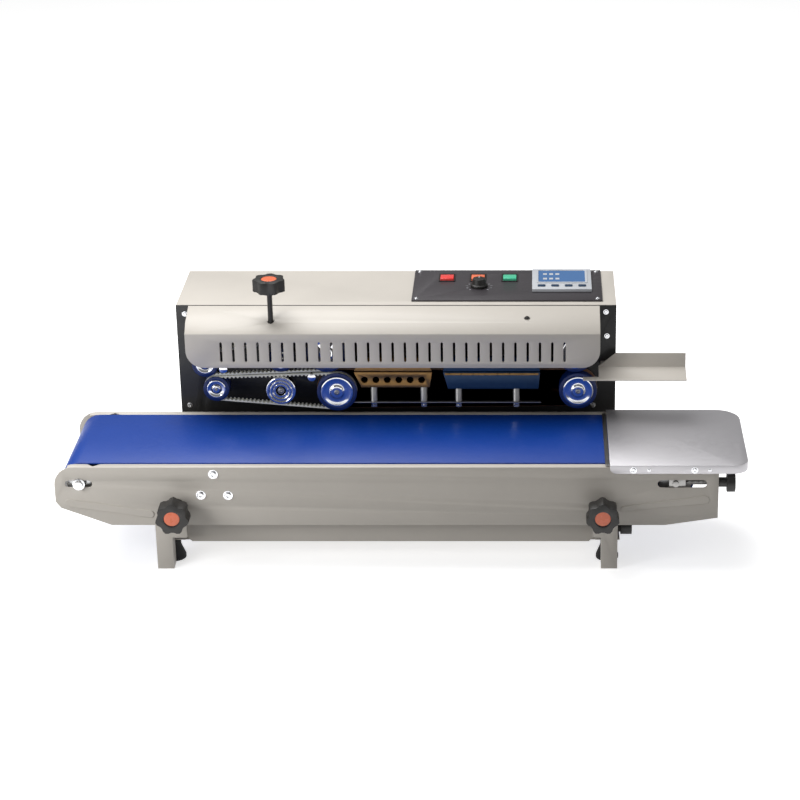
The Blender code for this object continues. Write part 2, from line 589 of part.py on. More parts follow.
def tail_roller(parent):
    """The idle roller at the infeed end."""
    bore, low, high = AXLE_RADIUS + RUN, FRONT + ROLLER_INSET, BACK - ROLLER_INSET
    profile = [(bore, low), (ROLLER_RADIUS, low), (ROLLER_RADIUS, high), (bore, high)]
    node("tail_roller", "aluminium", [lathe(profile, "Y", (TAIL_AXLE_X, AXLE_Z))],
         origin=(TAIL_AXLE_X, DEPTH_MIDDLE, AXLE_Z), parent=parent)


def axle_profile():
    """Half section of a fixed axle with a washer and a nut outside each panel."""
    washer, nut, nut_length = 7.5 * MM, 5.5 * MM, 4.5 * MM
    front, back = FRONT - TOUCH, BACK + TOUCH
    return [(0, front - SHEET - nut_length), (nut, front - SHEET - nut_length), (nut, front - SHEET),
            (washer, front - SHEET), (washer, front), (AXLE_RADIUS, front), (AXLE_RADIUS, back),
            (washer, back), (washer, back + SHEET), (nut, back + SHEET),
            (nut, back + SHEET + nut_length), (0, back + SHEET + nut_length)]


def drive_axle(parent):
    """The axle that the driven roller turns on."""
    node("drive_axle", "chrome", [lathe(axle_profile(), "Y", (DRIVE_AXLE_X, AXLE_Z), SMALL_ROUND)],
         parent=parent)


def tail_axle(parent):
    """The idle roller's axle with a tension block inside each panel."""
    solids = [rod("Y", (TAIL_AXLE_X, AXLE_Z), AXLE_RADIUS, FRONT - SHEET, BACK + SHEET)]
    cuts = []
    for side in (-1, 1):
        inner, outer = (DEPTH_MIDDLE + side * (BACK - DEPTH_MIDDLE - depth)
                        for depth in (ROLLER_INSET - TOUCH, SHEET + TOUCH))
        middle = DEPTH_MIDDLE + side * (BACK - DEPTH_MIDDLE - TENSION_INSET)
        solids.append(block((TAIL_AXLE_X - 8 * MM, TAIL_AXLE_X + 12 * MM), sorted((inner, outer)),
                            (AXLE_Z - 7 * MM, AXLE_Z + 7 * MM)))
        cuts.append(rod("X", (middle, AXLE_Z), STUD_RADIUS + RUN, TAIL_AXLE_X + AXLE_RADIUS + MM,
                        TAIL_AXLE_X + 14 * MM))
    node("tail_axle", "steel", solids, cuts, parent=parent)


def tension_knob(parent):
    """The knob on a screw that pulls the front tension block."""
    middle = FRONT + TENSION_INSET
    head, collar = PANEL_RIGHT + 10 * MM, PANEL_RIGHT + TOUCH
    profile = [(0, TAIL_AXLE_X + AXLE_RADIUS + CLEAR), (STUD_RADIUS, TAIL_AXLE_X + AXLE_RADIUS + CLEAR),
               (STUD_RADIUS, collar), (6 * MM, collar), (6 * MM, head), (12 * MM, head),
               (12 * MM, head + 10 * MM), (0, head + 10 * MM)]
    node("tension_knob", "black_plastic", [lathe(profile, "X", (middle, AXLE_Z), KNOB_ROUND)],
         origin=(head, middle, AXLE_Z), parent=parent)


def conveyor_motor(parent):
    """The small gear motor inside the belt's loop, on three pillars behind the front panel."""
    middle = (LEGS[0][0] + MOTOR_FROM_LEG, AXLE_Z - MOTOR_DROP)
    face = BELT_FRONT + CLEAR
    pillars = circle((middle[1], middle[0]), PILLAR_CIRCLE, 3)
    solids = [rod("Y", middle, MOTOR_RADIUS, face, face + 90 * MM, ROUND)]
    for place in turned(pillars):
        solids.append(rod("Y", place, 2.5 * MM, FRONT + SHEET + TOUCH, face + CLEAR, 8))
        arm = Vector((place[0] - middle[0], place[1] - middle[1])) / PILLAR_CIRCLE
        side = Vector((-arm.y, arm.x)) * 3.5 * MM
        tip, root = Vector(middle) + arm * (PILLAR_CIRCLE + 2.5 * MM), Vector(middle)
        solids.append(prism([tuple(corner) for corner in (root - side, tip - side, tip + side, root + side)],
                            "Y", face + MM / 2, face + 4 * MM))
    shaft = (middle[0], AXLE_Z - SHAFT_DROP)
    node("conveyor_motor", "steel", solids, [rod("Y", shaft, 3 * MM + RUN, face - CLEAR, face + 8 * MM)],
         parent=parent)


def motor_sprocket(parent):
    """The motor's sprocket on its shaft."""
    middle = (LEGS[0][0] + MOTOR_FROM_LEG, AXLE_Z - SHAFT_DROP)
    end = BELT_FRONT + CLEAR + 6 * MM
    profile = [(0, CHAIN_FRONT), (MOTOR_SPROCKET_RADIUS, CHAIN_FRONT),
               (MOTOR_SPROCKET_RADIUS, CHAIN_FRONT + CHAIN_WIDTH), (3 * MM, CHAIN_FRONT + CHAIN_WIDTH),
               (3 * MM, end), (0, end)]
    node("motor_sprocket", "steel", [lathe(profile, "Y", middle, SMALL_ROUND)],
         origin=(middle[0], CHAIN_FRONT, middle[1]), parent=parent)


def drive_chain(parent):
    """The chain from the gear motor to the driven roller."""
    ends = (DRIVE_AXLE_X, AXLE_Z), (LEGS[0][0] + MOTOR_FROM_LEG, AXLE_Z - SHAFT_DROP)
    inner = [DRIVEN_SPROCKET_RADIUS + TOUCH, MOTOR_SPROCKET_RADIUS + TOUCH]
    outer = [radius + CHAIN_THICKNESS for radius in inner]
    node("drive_chain", "steel", [prism(loop_round(ends[0], outer[0], ends[1], outer[1], 8), "Y",
         CHAIN_FRONT, CHAIN_FRONT + CHAIN_WIDTH, loop_round(ends[0], inner[0], ends[1], inner[1], 8))],
         parent=parent)


def end_plate(parent):
    """The polished plate over the infeed end, with a lip down its front."""
    left, right = LEFT + PANEL_LENGTH + END_PLATE_OVERHANG - END_PLATE_LENGTH, -LEFT
    front, back = FRONT - TOUCH - END_PLATE_SHEET, BACK
    bottom = BELT_TOP + 0.8 * MM
    top = bottom + END_PLATE_SHEET
    near, far = 18 * MM, 30 * MM
    outline = ([(left, back), (left, front)] + arc((right - near, front + near), near, -90, 0, 8)
               + arc((right - far, back - far), far, 0, 90, 8))
    inner = near - END_PLATE_SHEET
    lip = ([(left, front)] + arc((right - near, front + near), near, -90, 0, 8)
           + [(right, front + 3 * near), (right - END_PLATE_SHEET, front + 3 * near)]
           + arc((right - near, front + near), inner, 0, -90, 8) + [(left, front + END_PLATE_SHEET)])
    corner = 8 * MM
    cut = prism([(left - CLEAR, top - END_PLATE_DROP - CLEAR), (left + corner, top - END_PLATE_DROP - CLEAR)]
                + arc((left + corner, top - END_PLATE_DROP + corner), corner, 270, 180, 6)
                + [(left - CLEAR, top - END_PLATE_DROP + corner)], "Y", front - CLEAR,
                front + END_PLATE_SHEET + CLEAR)
    node("end_plate", "stainless", [prism(outline, "Z", bottom, top),
         prism(lip, "Z", top - END_PLATE_DROP, bottom + END_PLATE_SHEET / 2)], [cut], parent=parent)


def clamp_knob(name, place, parent):
    """A star knob whose stud passes through the front panel and the leg's slot."""
    face = FRONT - TOUCH - CLAMP_COLLAR
    stud = [(0, face - MM), (STUD_RADIUS, face - MM), (STUD_RADIUS, LEG_FRONT + LEG_SHEET + CLAMP_STUD),
            (0, LEG_FRONT + LEG_SHEET + CLAMP_STUD)]
    collar = [(0, face - MM), (COLLAR_RADIUS, face - MM), (COLLAR_RADIUS, FRONT - TOUCH), (0, FRONT - TOUCH)]
    star = lobed(place, CLAMP_RADIUS, LOBE_DEPTH, KNOB_LOBES, 5 * KNOB_LOBES)
    node(name, "black_plastic", [prism(star, "Y", face - CLAMP_DEPTH, face),
                                lathe(collar, "Y", place, KNOB_ROUND), lathe(stud, "Y", place, SMALL_ROUND)],
         [rod("Y", place, CAP_RADIUS + TOUCH, face - CLAMP_DEPTH - CLEAR,
              face - CLAMP_DEPTH + CAP_SEAT, KNOB_ROUND)],
         origin=(place[0], FRONT, place[1]), parent=parent)


# ---------------------------------------------------------------- legs and base

def leg(name, middle, inset, parent):
    """A leg: a channel with a slotted head for the height clamp and a slotted arm for the depth."""
    left, right, back = middle - LEG_WIDTH / 2, middle + LEG_WIDTH / 2, LEG_FRONT + LEG_DEPTH
    channel = [(left, LEG_FRONT), (right, LEG_FRONT), (right, back), (right - LEG_SHEET, back),
               (right - LEG_SHEET, LEG_FRONT + LEG_SHEET), (left + LEG_SHEET, LEG_FRONT + LEG_SHEET),
               (left + LEG_SHEET, back), (left, back)]
    clamp = middle + inset
    head = block((min(left, clamp - 11 * MM), max(right, clamp + 11 * MM)),
                 (LEG_FRONT, LEG_FRONT + LEG_SHEET), (LEG_CHANNEL_HEIGHT - 14 * MM, LEG_HEAD_TOP))
    arm = block((right - LEG_SHEET, right), (back - MM, SIDE_STUD_Y + SLIDE_OUT + 10 * MM),
                (SIDE_STUD_Z - 9 * MM, SIDE_STUD_Z + 9 * MM))
    clear = STUD_RADIUS + RUN
    slot = turned(long_slot(CLAMP_HEIGHT - LIFT_DOWN - clear - RUN, CLAMP_HEIGHT + LIFT_UP + clear + RUN,
                            clamp, clear))
    arm_slot = long_slot(SIDE_STUD_Y - clear - RUN, SIDE_STUD_Y + SLIDE_OUT + clear + RUN, SIDE_STUD_Z, clear)
    cuts = [prism(slot, "Y", LEG_FRONT - CLEAR, LEG_FRONT + LEG_SHEET + CLEAR),
            prism(arm_slot, "X", right - LEG_SHEET - CLEAR, right + CLEAR)]
    return node(name, "beige_paint", [prism(channel, "Z", 0, LEG_CHANNEL_HEIGHT), head, arm], cuts,
                parent=parent)


def foot(name, place):
    """A flared rubber foot under the base."""
    top = BASE_FLOOR - TOUCH
    node(name, "black_rubber", [lathe([(0, 0), (FOOT_RADIUS, 0), (FOOT_RADIUS, 4 * MM),
         (FOOT_NECK, 18 * MM), (FOOT_NECK, top), (0, top)], "Z", place, 24)])


def base_tray():
    """The base: a floor under the cabinet and, in front, a tray with a lip and two short side walls."""
    overlap = SHEET / 2
    bottom = BASE_FLOOR - LIP_DROP
    lip = [(TRAY_LEFT, TRAY_WALL_TOP), (TRAY_LEFT, bottom + LIP_CHAMFER), (TRAY_LEFT + LIP_CHAMFER, bottom),
           (TRAY_RIGHT - LIP_CHAMFER, bottom), (TRAY_RIGHT, bottom + LIP_CHAMFER),
           (TRAY_RIGHT, TRAY_WALL_TOP)]
    solids = [
        block((CABINET_LEFT, CABINET_RIGHT), (PLATE_FRONT, CABINET_BACK), (BASE_FLOOR, FLOOR_TOP)),
        block((TRAY_LEFT, TRAY_RIGHT), (TRAY_FRONT + overlap, PLATE_FRONT + CLEAR), (BASE_FLOOR, FLOOR_TOP)),
        prism(lip, "Y", TRAY_FRONT, TRAY_FRONT + SHEET)]
    cuts = []
    for side, edge in ((1, TRAY_LEFT), (-1, TRAY_RIGHT)):
        wall = sorted((edge, edge + side * SHEET))
        solids.append(block(wall, (TRAY_FRONT + overlap, TRAY_FRONT + TRAY_WALL),
                            (BASE_FLOOR + overlap, TRAY_WALL_TOP)))
        ear = sorted((edge + side * CLEAR, edge - side * EAR_LENGTH))
        solids.append(block(ear, (TRAY_FRONT, TRAY_FRONT + 2 * FOOT_RADIUS), (BASE_FLOOR, FLOOR_TOP)))
        cuts.append(rod("X", (SIDE_STUD_Y, SIDE_STUD_Z), STUD_RADIUS + RUN, wall[0] - CLEAR, wall[1] + CLEAR))
    node("base_tray", "beige_paint", solids, cuts)


def side_knob(parent):
    """The knob that locks the right leg's arm against the tray."""
    face = LEGS[1][0] + LEG_WIDTH / 2 + TOUCH
    inside = TRAY_RIGHT - SHEET - TOUCH
    profile = [(0, inside - 3 * MM), (5.5 * MM, inside - 3 * MM), (5.5 * MM, inside), (STUD_RADIUS, inside),
               (STUD_RADIUS, face), (7 * MM, face), (7 * MM, face + 4 * MM), (10 * MM, face + 4 * MM),
               (10 * MM, face + 18 * MM), (0, face + 18 * MM)]
    node("side_knob", "black_plastic", [lathe(profile, "X", (SIDE_STUD_Y, SIDE_STUD_Z), KNOB_ROUND)],
         origin=(face, SIDE_STUD_Y, SIDE_STUD_Z), parent=parent)


# ---------------------------------------------------------------- cabinet

def cabinet_shell():
    """The folded cabinet: two sides, a top with a window for the controls, and a back."""
    low, top = FLOOR_TOP + TOUCH, CABINET_TOP
    front = PLATE_BACK + TOUCH
    inner = (CABINET_LEFT + SHEET, CABINET_RIGHT - SHEET)
    profile = [(CABINET_LEFT, low), (CABINET_LEFT, top), (CABINET_RIGHT, top), (CABINET_RIGHT, low),
               (inner[1], low), (inner[1], top - SHEET), (inner[0], top - SHEET), (inner[0], low)]
    back = block((inner[0] - SHEET / 2, inner[1] + SHEET / 2), (CABINET_BACK - SHEET, CABINET_BACK),
                 (low, top - SHEET / 2))
    edge = 6 * MM
    window = block((PANEL_X[0] + edge, PANEL_X[1] - edge), (CONTROL_FRONT + edge, CONTROL_BACK - edge),
                   (top - SHEET - CLEAR, top + CLEAR))
    opening = block((REAR_LEFT + edge, REAR_RIGHT - edge),
                    (CABINET_BACK - SHEET - CLEAR, CABINET_BACK + CLEAR),
                    (REAR_BOTTOM + edge, REAR_BOTTOM + REAR_COVER_HEIGHT - edge))
    inlet = block((INLET_X - INLET_HALF[0], INLET_X + INLET_HALF[0]),
                  (CABINET_BACK - SHEET - CLEAR, CABINET_BACK + CLEAR),
                  (INLET_Z - INLET_HALF[1], INLET_Z + INLET_HALF[1]))
    node("cabinet_shell", "beige_paint", [prism(profile, "Y", front, CABINET_BACK), back],
         [window, opening, inlet])


def head_shafts():
    """The centres of the shafts that pass through the mounting plate."""
    return (DRIVE_WHEEL, UPPER_DRIVE_WHEEL, TAIL_WHEEL, UPPER_TAIL_WHEEL, GUIDE_WHEEL, UPPER_GUIDE_WHEEL,
            EMBOSS_WHEEL)


def front_plate():
    """The black plate that carries the head, with a bearing boss for each shaft and the rod's bracket."""
    solids = [block((CABINET_LEFT, CABINET_RIGHT), (PLATE_FRONT, PLATE_BACK),
                    (FLOOR_TOP + TOUCH, CABINET_TOP))]
    cuts = []
    for place in head_shafts():
        solids.append(rod("Y", place, BOSS_RADIUS, HEAD_BACK + CLEAR, PLATE_FRONT + PLATE_SHEET / 2))
        cuts.append(rod("Y", place, SHAFT_RADIUS + RUN, HEAD_BACK, PLATE_BACK + CLEAR))
    x, low = PRESS_ROD[0], ROD_END + PRESS_LIFT + MM
    solids.append(block((x - 10 * MM, x + 12 * MM), (HEAD_FRONT + MM / 2, PLATE_FRONT + PLATE_SHEET / 2),
                        (low, low + 3 * MM)))
    cuts.append(rod("Z", PRESS_ROD, ROD_RADIUS + RUN, low - CLEAR, low + 8 * MM))
    node("front_plate", "black_paint", solids, cuts)


def rear_cover():
    """The shallow cover over the cabinet's back, with louvres and a barred fan opening."""
    front, back = CABINET_BACK + TOUCH, CABINET_BACK + TOUCH + REAR_COVER_DEPTH
    low, high = REAR_BOTTOM, REAR_BOTTOM + REAR_COVER_HEIGHT
    slots = []
    for row in range(-4, 5):
        height = FAN[1] + row * 8 * MM
        half = math.sqrt(FAN_RADIUS ** 2 - (row * 8 * MM) ** 2) - 3 * MM
        slots.append(prism(long_slot(FAN[0] - half, FAN[0] + half, height, 2.5 * MM), "Y", back - 2 * SHEET,
                           back + CLEAR))
    for row in range(8):
        slots.append(block((LOUVRES[0], LOUVRES[1]), (back - 2 * SHEET, back + CLEAR),
                           (low + (30 + 12 * row) * MM, low + (34 + 12 * row) * MM)))
    hollow = block((REAR_LEFT + SHEET, REAR_RIGHT - SHEET), (front - CLEAR, back - SHEET),
                   (low + SHEET, high - SHEET))
    node("rear_cover", "beige_paint", [block((REAR_LEFT, REAR_RIGHT), (front, back), (low, high))],
         [hollow, merged(slots)])


def fan_housing():
    """The cooling fan's square frame with its motor spider."""
    back = CABINET_BACK + TOUCH + REAR_COVER_DEPTH - SHEET - TOUCH
    front = back - 20 * MM
    side = FAN_RADIUS + 3 * MM
    frame_block = block((FAN[0] - side, FAN[0] + side), (front, back), (FAN[1] - side, FAN[1] + side))
    spider = rod("Y", FAN, 16 * MM, front, front + 3 * MM, 24)
    bar = block((FAN[0] - side + CLEAR, FAN[0] + side - CLEAR), (front, front + 2.5 * MM),
                (FAN[1] - 3 * MM, FAN[1] + 3 * MM))
    body = node("fan_housing", "black_plastic", [frame_block], [rod("Y", FAN, FAN_RADIUS, front - CLEAR,
                back + CLEAR, ROUND)])
    for number, mesh in enumerate((spider, bar)):
        tool = as_tool(f"fan_housing_spider_{number}", mesh, (0, 0, 0), None)
        modifier = body.modifiers.new(tool.name, "BOOLEAN")
        modifier.operation = "UNION"
        modifier.object = tool


def fan_rotor(parent):
    """The fan's hub and seven blades."""
    back = CABINET_BACK + TOUCH + REAR_COVER_DEPTH - SHEET - TOUCH
    blades = []
    for blade in range(7):
        for share, radius in ((-0.34, 15 * MM), (-0.25, FAN_RADIUS - CLEAR), (0.12, FAN_RADIUS - CLEAR),
                              (0.3, 15 * MM)):
            angle = math.tau * (blade + share) / 7
            blades.append((FAN[0] + radius * math.cos(angle), FAN[1] + radius * math.sin(angle)))
    node("fan_rotor", "black_plastic", [prism(blades, "Y", back - 15 * MM, back - 5 * MM)],
         origin=(FAN[0], back - 10 * MM, FAN[1]), parent=parent)


def power_inlet():
    """The mains inlet in the cabinet's back."""
    half_x, half_z = INLET_HALF[0] - RUN, INLET_HALF[1] - RUN
    flange = block((INLET_X - half_x - 4 * MM, INLET_X + half_x + 4 * MM),
                   (CABINET_BACK + TOUCH, CABINET_BACK + 2.5 * MM), (INLET_Z - half_z - 4 * MM,
                                                                   INLET_Z + half_z + 4 * MM))
    body = block((INLET_X - half_x, INLET_X + half_x), (CABINET_BACK - 22 * MM, CABINET_BACK + MM),
                 (INLET_Z - half_z, INLET_Z + half_z))
    socket = block((INLET_X - half_x + 2 * MM, INLET_X + half_x - 2 * MM),
                   (CABINET_BACK - 14 * MM, CABINET_BACK + 4 * MM),
                   (INLET_Z - half_z + 2 * MM, INLET_Z + half_z - 2 * MM))
    node("power_inlet", "black_plastic", [body, flange], [socket])


def main_motor():
    """The gear motor that drives the sealing head, on a bracket to the base floor."""
    front = GEAR_FRONT + GEAR_WIDTH + 5 * MM
    x, z = PINION
    solids = [block((x - MOTOR_SIDE, x + MOTOR_SIDE), (front, front + MOTOR_GEARBOX),
                    (z - MOTOR_SIDE, z + MOTOR_SIDE)),
              rod("Y", PINION, MOTOR_CAN, front + MOTOR_CAN, front + MOTOR_LENGTH, ROUND),
              block((x - 30 * MM, x + 30 * MM), (front + 6 * MM, front + 26 * MM),
                    (FLOOR_TOP + TOUCH, z - 33 * MM))]
    node("main_motor", "aluminium", solids)


def cover_profile(inset):
    """The belt cover's section, moved in from its outer face."""
    upper, lower = (CABINET_TOP - drop for drop in COVER_FOLDS)
    return [(PLATE_FRONT - TOUCH, CABINET_TOP - inset), (COVER_FRONT + COVER_BROW + inset / 3, upper - inset),
            (COVER_FRONT + inset, lower - inset / 2), (COVER_FRONT + inset, COVER_BOTTOM)]


def belt_cover():
    """The folded cover over the upper belts, with a row of vents and the pressure rod's hole."""
    left, right = COVER_MIDDLE - COVER_WIDTH / 2, COVER_MIDDLE + COVER_WIDTH / 2
    section = cover_profile(0) + cover_profile(COVER_SHEET)[::-1]
    near, far = COVER_FRONT - CLEAR, COVER_FRONT + COVER_SHEET + CLEAR
    first = COVER_MIDDLE - VENT_PITCH * (VENT_COUNT - 1) / 2
    vents = []
    for number in range(VENT_COUNT):
        middle = first + number * VENT_PITCH
        vents.append(prism(turned(long_slot(VENT_CENTRE - VENT_HEIGHT / 2, VENT_CENTRE + VENT_HEIGHT / 2,
                                            middle, VENT_WIDTH / 2, 2)), "Y", near, far))
    cuts = [merged(vents), rod("Z", PRESS_ROD, ROD_RADIUS + 2 * RUN, CABINET_TOP - ROD_HOLE_DEPTH,
                               CABINET_TOP)]
    for edge, toward, start in ((left, 1, 270), (right, -1, 270)):
        centre = (edge + toward * COVER_CORNER, COVER_BOTTOM + COVER_CORNER)
        curve = arc(centre, COVER_CORNER, start, start - toward * 90, 8)
        cuts.append(prism([(centre[0], COVER_BOTTOM - CLEAR)] + curve[:1] + curve[1:]
                          + [(edge - toward * CLEAR, COVER_BOTTOM + COVER_CORNER),
                             (edge - toward * CLEAR, COVER_BOTTOM - CLEAR)], "Y", near, far))
    node("belt_cover", "beige_paint", [prism(section, "X", left, right)], cuts)


# ---------------------------------------------------------------- sealing head

def wheel(name, place, radius, parent, end, groove=False, look="wheel_blue"):
    """A wheel with its shaft; a grooved one carries a toothed belt near its face."""
    hub, rim, dish = 7 * MM, 4.5 * MM, 2.5 * MM
    face, back = HEAD_FRONT, HEAD_BACK
    profile = [(0, face), (hub, face), (hub, face + dish), (radius - rim, face + dish), (radius - rim, face),
               (radius, face)]
    if groove:
        floor = radius - TOOTHED_BELT_THICKNESS - 2 * TOUCH
        groove_back = face + GROOVE_INSET + TOOTHED_BELT_WIDTH + 2 * TOUCH
        profile += [(radius, face + GROOVE_INSET), (floor, face + GROOVE_INSET), (floor, groove_back),
                    (radius, groove_back)]
    profile += [(radius, back), (SHAFT_RADIUS, back), (SHAFT_RADIUS, end), (0, end)]
    node(name, look, [lathe(profile, "Y", place, ROUND if radius > 20 * MM else 18)],
         origin=(place[0], face, place[1]), parent=parent)


def gear(name, place, teeth, radius, first_tooth, parent, bore=SHAFT_RADIUS + TOUCH):
    """A spur gear inside the cabinet on a wheel's shaft."""
    node(name, "steel", [prism(gear_outline(place, radius, teeth, first_tooth), "Y", GEAR_FRONT,
         GEAR_FRONT + GEAR_WIDTH)],
         [rod("Y", place, bore, GEAR_FRONT - CLEAR, GEAR_FRONT + GEAR_WIDTH + CLEAR)],
         origin=(place[0], GEAR_FRONT, place[1]), parent=parent)


def meshing_tooth(first, first_teeth, first_tooth, second, second_teeth):
    """The angle in degrees of a tooth on the second gear that meshes with the first one's teeth."""
    heading = math.degrees(math.atan2(second[1] - first[1], second[0] - first[0]))
    share = ((heading - first_tooth) / (360 / first_teeth)) % 1
    return heading + 180 + (share + 0.5) * 360 / second_teeth


def motor_pinion(first_tooth, parent):
    """The main motor's pinion on its short shaft."""
    outline = gear_outline(PINION, GEAR_RADIUS * PINION_TEETH / GEAR_TEETH, PINION_TEETH, first_tooth)
    back = GEAR_FRONT + GEAR_WIDTH
    node("motor_pinion", "steel", [prism(outline, "Y", GEAR_FRONT, back),
         rod("Y", PINION, SHAFT_RADIUS, back - MM, back + 5 * MM - TOUCH)],
         origin=(PINION[0], GEAR_FRONT, PINION[1]), parent=parent)


def endless(name, look, ends, radii, thickness, low, high):
    """An endless band or belt round two wheels; the radii are those of its inner face."""
    outer = loop_round(ends[0], radii[0] + thickness, ends[1], radii[1] + thickness)
    inner = loop_round(ends[0], radii[0], ends[1], radii[1])
    node(name, look, [prism(outer, "Y", low, high, inner)])


def sealing_bands_and_belts():
    """The two sealing bands and the two toothed belts."""
    low = HEAD_FRONT + GROOVE_INSET + TOOTHED_BELT_WIDTH + CLEAR
    for name, ends in (("sealing_band_lower", (DRIVE_WHEEL, TAIL_WHEEL)),
                       ("sealing_band_upper", (UPPER_DRIVE_WHEEL, UPPER_TAIL_WHEEL))):
        endless(name, "band_brown", ends, (DRIVE_WHEEL_RADIUS + TOUCH, TAIL_WHEEL_RADIUS + TOUCH),
                BAND_THICKNESS, low, low + BAND_WIDTH)
    low = HEAD_FRONT + GROOVE_INSET + TOUCH
    for name, ends in (("toothed_belt_lower", (GUIDE_WHEEL, DRIVE_WHEEL)),
                       ("toothed_belt_upper", (UPPER_GUIDE_WHEEL, UPPER_DRIVE_WHEEL))):
        endless(name, "belt_white", ends, TOOTHED_RADII, TOOTHED_BELT_THICKNESS, low,
                low + TOOTHED_BELT_WIDTH)


def sealing_blocks():
    """The lower and upper cooling and heating blocks."""
    low, high = HEAD_FRONT + 3 * MM, HEAD_FRONT + 3 * MM + BLOCK_DEPTH
    upper_low = UPPER_BAND_Z + BAND_THICKNESS + TOUCH
    upper_high = upper_low + UPPER_BLOCK_HEIGHT
    for name, look, ends, bottom, slant in (("cooling_block", "brass", COOLING_BLOCK, COOLING_BOTTOM, 9 * MM),
                                            ("heating_block", "blued_steel", HEATING_BLOCK, HEATING_BOTTOM,
                                             6 * MM)):
        left, right = ends
        lower = [(left, NIP_HEIGHT), (left + slant, bottom), (right - slant / 3, bottom), (right, NIP_HEIGHT)]
        cuts = []
        if name == "cooling_block":
            pitch = (right - left - 2 * COOLING_END) / (COOLING_HOLES - 1)
            for number in range(COOLING_HOLES):
                place = (left + COOLING_END + number * pitch, (NIP_HEIGHT + bottom) / 2)
                cuts.append(rod("Y", place, COOLING_HOLE_RADIUS, low - CLEAR, high + CLEAR, SMALL_ROUND))
        node(f"lower_{name}", look, [prism(lower, "Y", low, high)], cuts)
        middle = (left + right) / 2
        lug = block((middle - 12 * MM, middle + 12 * MM), (high - MM, PLATE_FRONT - TOUCH),
                    (upper_low + 4 * MM, upper_high - 4 * MM))
        upper = [(left, upper_low), (right, upper_low), (right - slant, upper_high),
                 (left + slant, upper_high)]
        node(f"upper_{name}", look, [prism(upper, "Y", low, high), lug])


def support_rail():
    """The angle bar with four posts under the lower blocks."""
    front, back = PLATE_FRONT - TOUCH - RAIL_DEPTH, PLATE_FRONT - TOUCH
    post_y = HEAD_FRONT + 12 * MM
    profile = [(front, RAIL_TOP - SHEET), (back, RAIL_TOP - SHEET), (back, RAIL_TOP + 12 * MM),
               (back - SHEET, RAIL_TOP + 12 * MM), (back - SHEET, RAIL_TOP), (front, RAIL_TOP)]
    solids = [prism(profile, "X", *RAIL)]
    for ends, bottom, insets in ((COOLING_BLOCK, COOLING_BOTTOM, COOLING_POSTS),
                                 (HEATING_BLOCK, HEATING_BOTTOM, HEATING_POSTS)):
        for x in (ends[0] + insets[0], ends[1] - insets[1]):
            solids.append(rod("Z", (x, post_y), POST_RADIUS, RAIL_TOP - MM, bottom - TOUCH, 12))
    node("support_rail", "steel", solids)


def press_arm(parent):
    """The sprung slide that carries the press wheel; the pressure rod bears on its lug."""
    x, z = PRESS_WHEEL
    low, high = HEAD_BACK + CLEAR, PLATE_FRONT - CLEAR
    plate = block((x - 14 * MM, x + 12 * MM), (low, high), (z - 10 * MM, ROD_END))
    lug = block((PRESS_ROD[0] - 8 * MM, x + 8 * MM), (HEAD_FRONT, low + MM), (ROD_END - 5 * MM, ROD_END))
    axle = rod("Y", PRESS_WHEEL, SHAFT_RADIUS, HEAD_FRONT, low + MM)
    node("press_arm", "steel", [plate, lug, axle], parent=parent)


def press_wheel(parent):
    """The upper press wheel, which turns on the press arm's axle."""
    bore, radius = SHAFT_RADIUS + RUN, PRESS_WHEEL_RADIUS
    profile = [(bore, HEAD_FRONT + RUN), (radius, HEAD_FRONT + RUN), (radius, HEAD_BACK), (bore, HEAD_BACK)]
    node("press_wheel", "wheel_blue", [lathe(profile, "Y", PRESS_WHEEL, 24)],
         origin=(PRESS_WHEEL[0], HEAD_FRONT, PRESS_WHEEL[1]), parent=parent)


def pressure_knob(parent):
    """The star knob and threaded rod that set the sealing pressure."""
    bottom = KNOB_TOP - PRESSURE_KNOB_DEPTH
    stud = [(0, ROD_END + TOUCH), (ROD_RADIUS, ROD_END + TOUCH), (ROD_RADIUS, bottom - 4 * MM),
            (10 * MM, bottom - 4 * MM), (10 * MM, bottom + MM), (0, bottom + MM)]
    star = lobed(PRESS_ROD, CLAMP_RADIUS, LOBE_DEPTH, KNOB_LOBES, 5 * KNOB_LOBES)
    node("pressure_knob", "black_plastic", [prism(star, "Z", bottom, KNOB_TOP),
                                            lathe(stud, "Z", PRESS_ROD, SMALL_ROUND)],
         [rod("Z", PRESS_ROD, CAP_RADIUS + TOUCH, KNOB_TOP - CAP_SEAT, KNOB_TOP + CLEAR, KNOB_ROUND)],
         origin=(*PRESS_ROD, ROD_END), parent=parent)


def film_guide():
    """The folded trough that leads bag mouths into the bands."""
    depths = COVER_FRONT, HEAD_BACK + MM, HEAD_BACK + 3 * MM
    lip, fold, top = ((depth, NIP_HEIGHT + rise) for depth, rise in zip(depths, GUIDE_RISES))
    sheet = 1.2 * MM
    section = [lip, (fold[0] + sheet, fold[1]), (top[0] + sheet, top[1]), top,
               (fold[0], fold[1] + sheet), (lip[0], lip[1] + sheet)]
    inner = TAIL_WHEEL_X + TAIL_WHEEL_RADIUS + CLEAR
    low, high = lip[1] - 6 * CLEAR, top[1] + 7 * CLEAR
    relief = block((GUIDE_LEFT - CLEAR, inner), (HEAD_FRONT - 2 * RUN, PLATE_FRONT), (low, high))
    chamfer = prism([(GUIDE_LEFT - CLEAR, fold[1] + CLEAR), (inner, fold[1] + CLEAR),
                     (inner + 22 * MM, top[1]), (inner + 22 * MM, high), (GUIDE_LEFT - CLEAR, high)],
                    "Y", fold[0] - CLEAR, PLATE_FRONT)
    lug = block((inner + 3 * MM, CABINET_RIGHT - CLEAR), (fold[0] + sheet / 2, PLATE_FRONT - TOUCH),
                (fold[1] + CLEAR / 2, fold[1] + 4 * MM))
    node("film_guide", "beige_paint", [prism(section, "X", GUIDE_LEFT, GUIDE_RIGHT), lug], [relief, chamfer])


# ---------------------------------------------------------------- controls

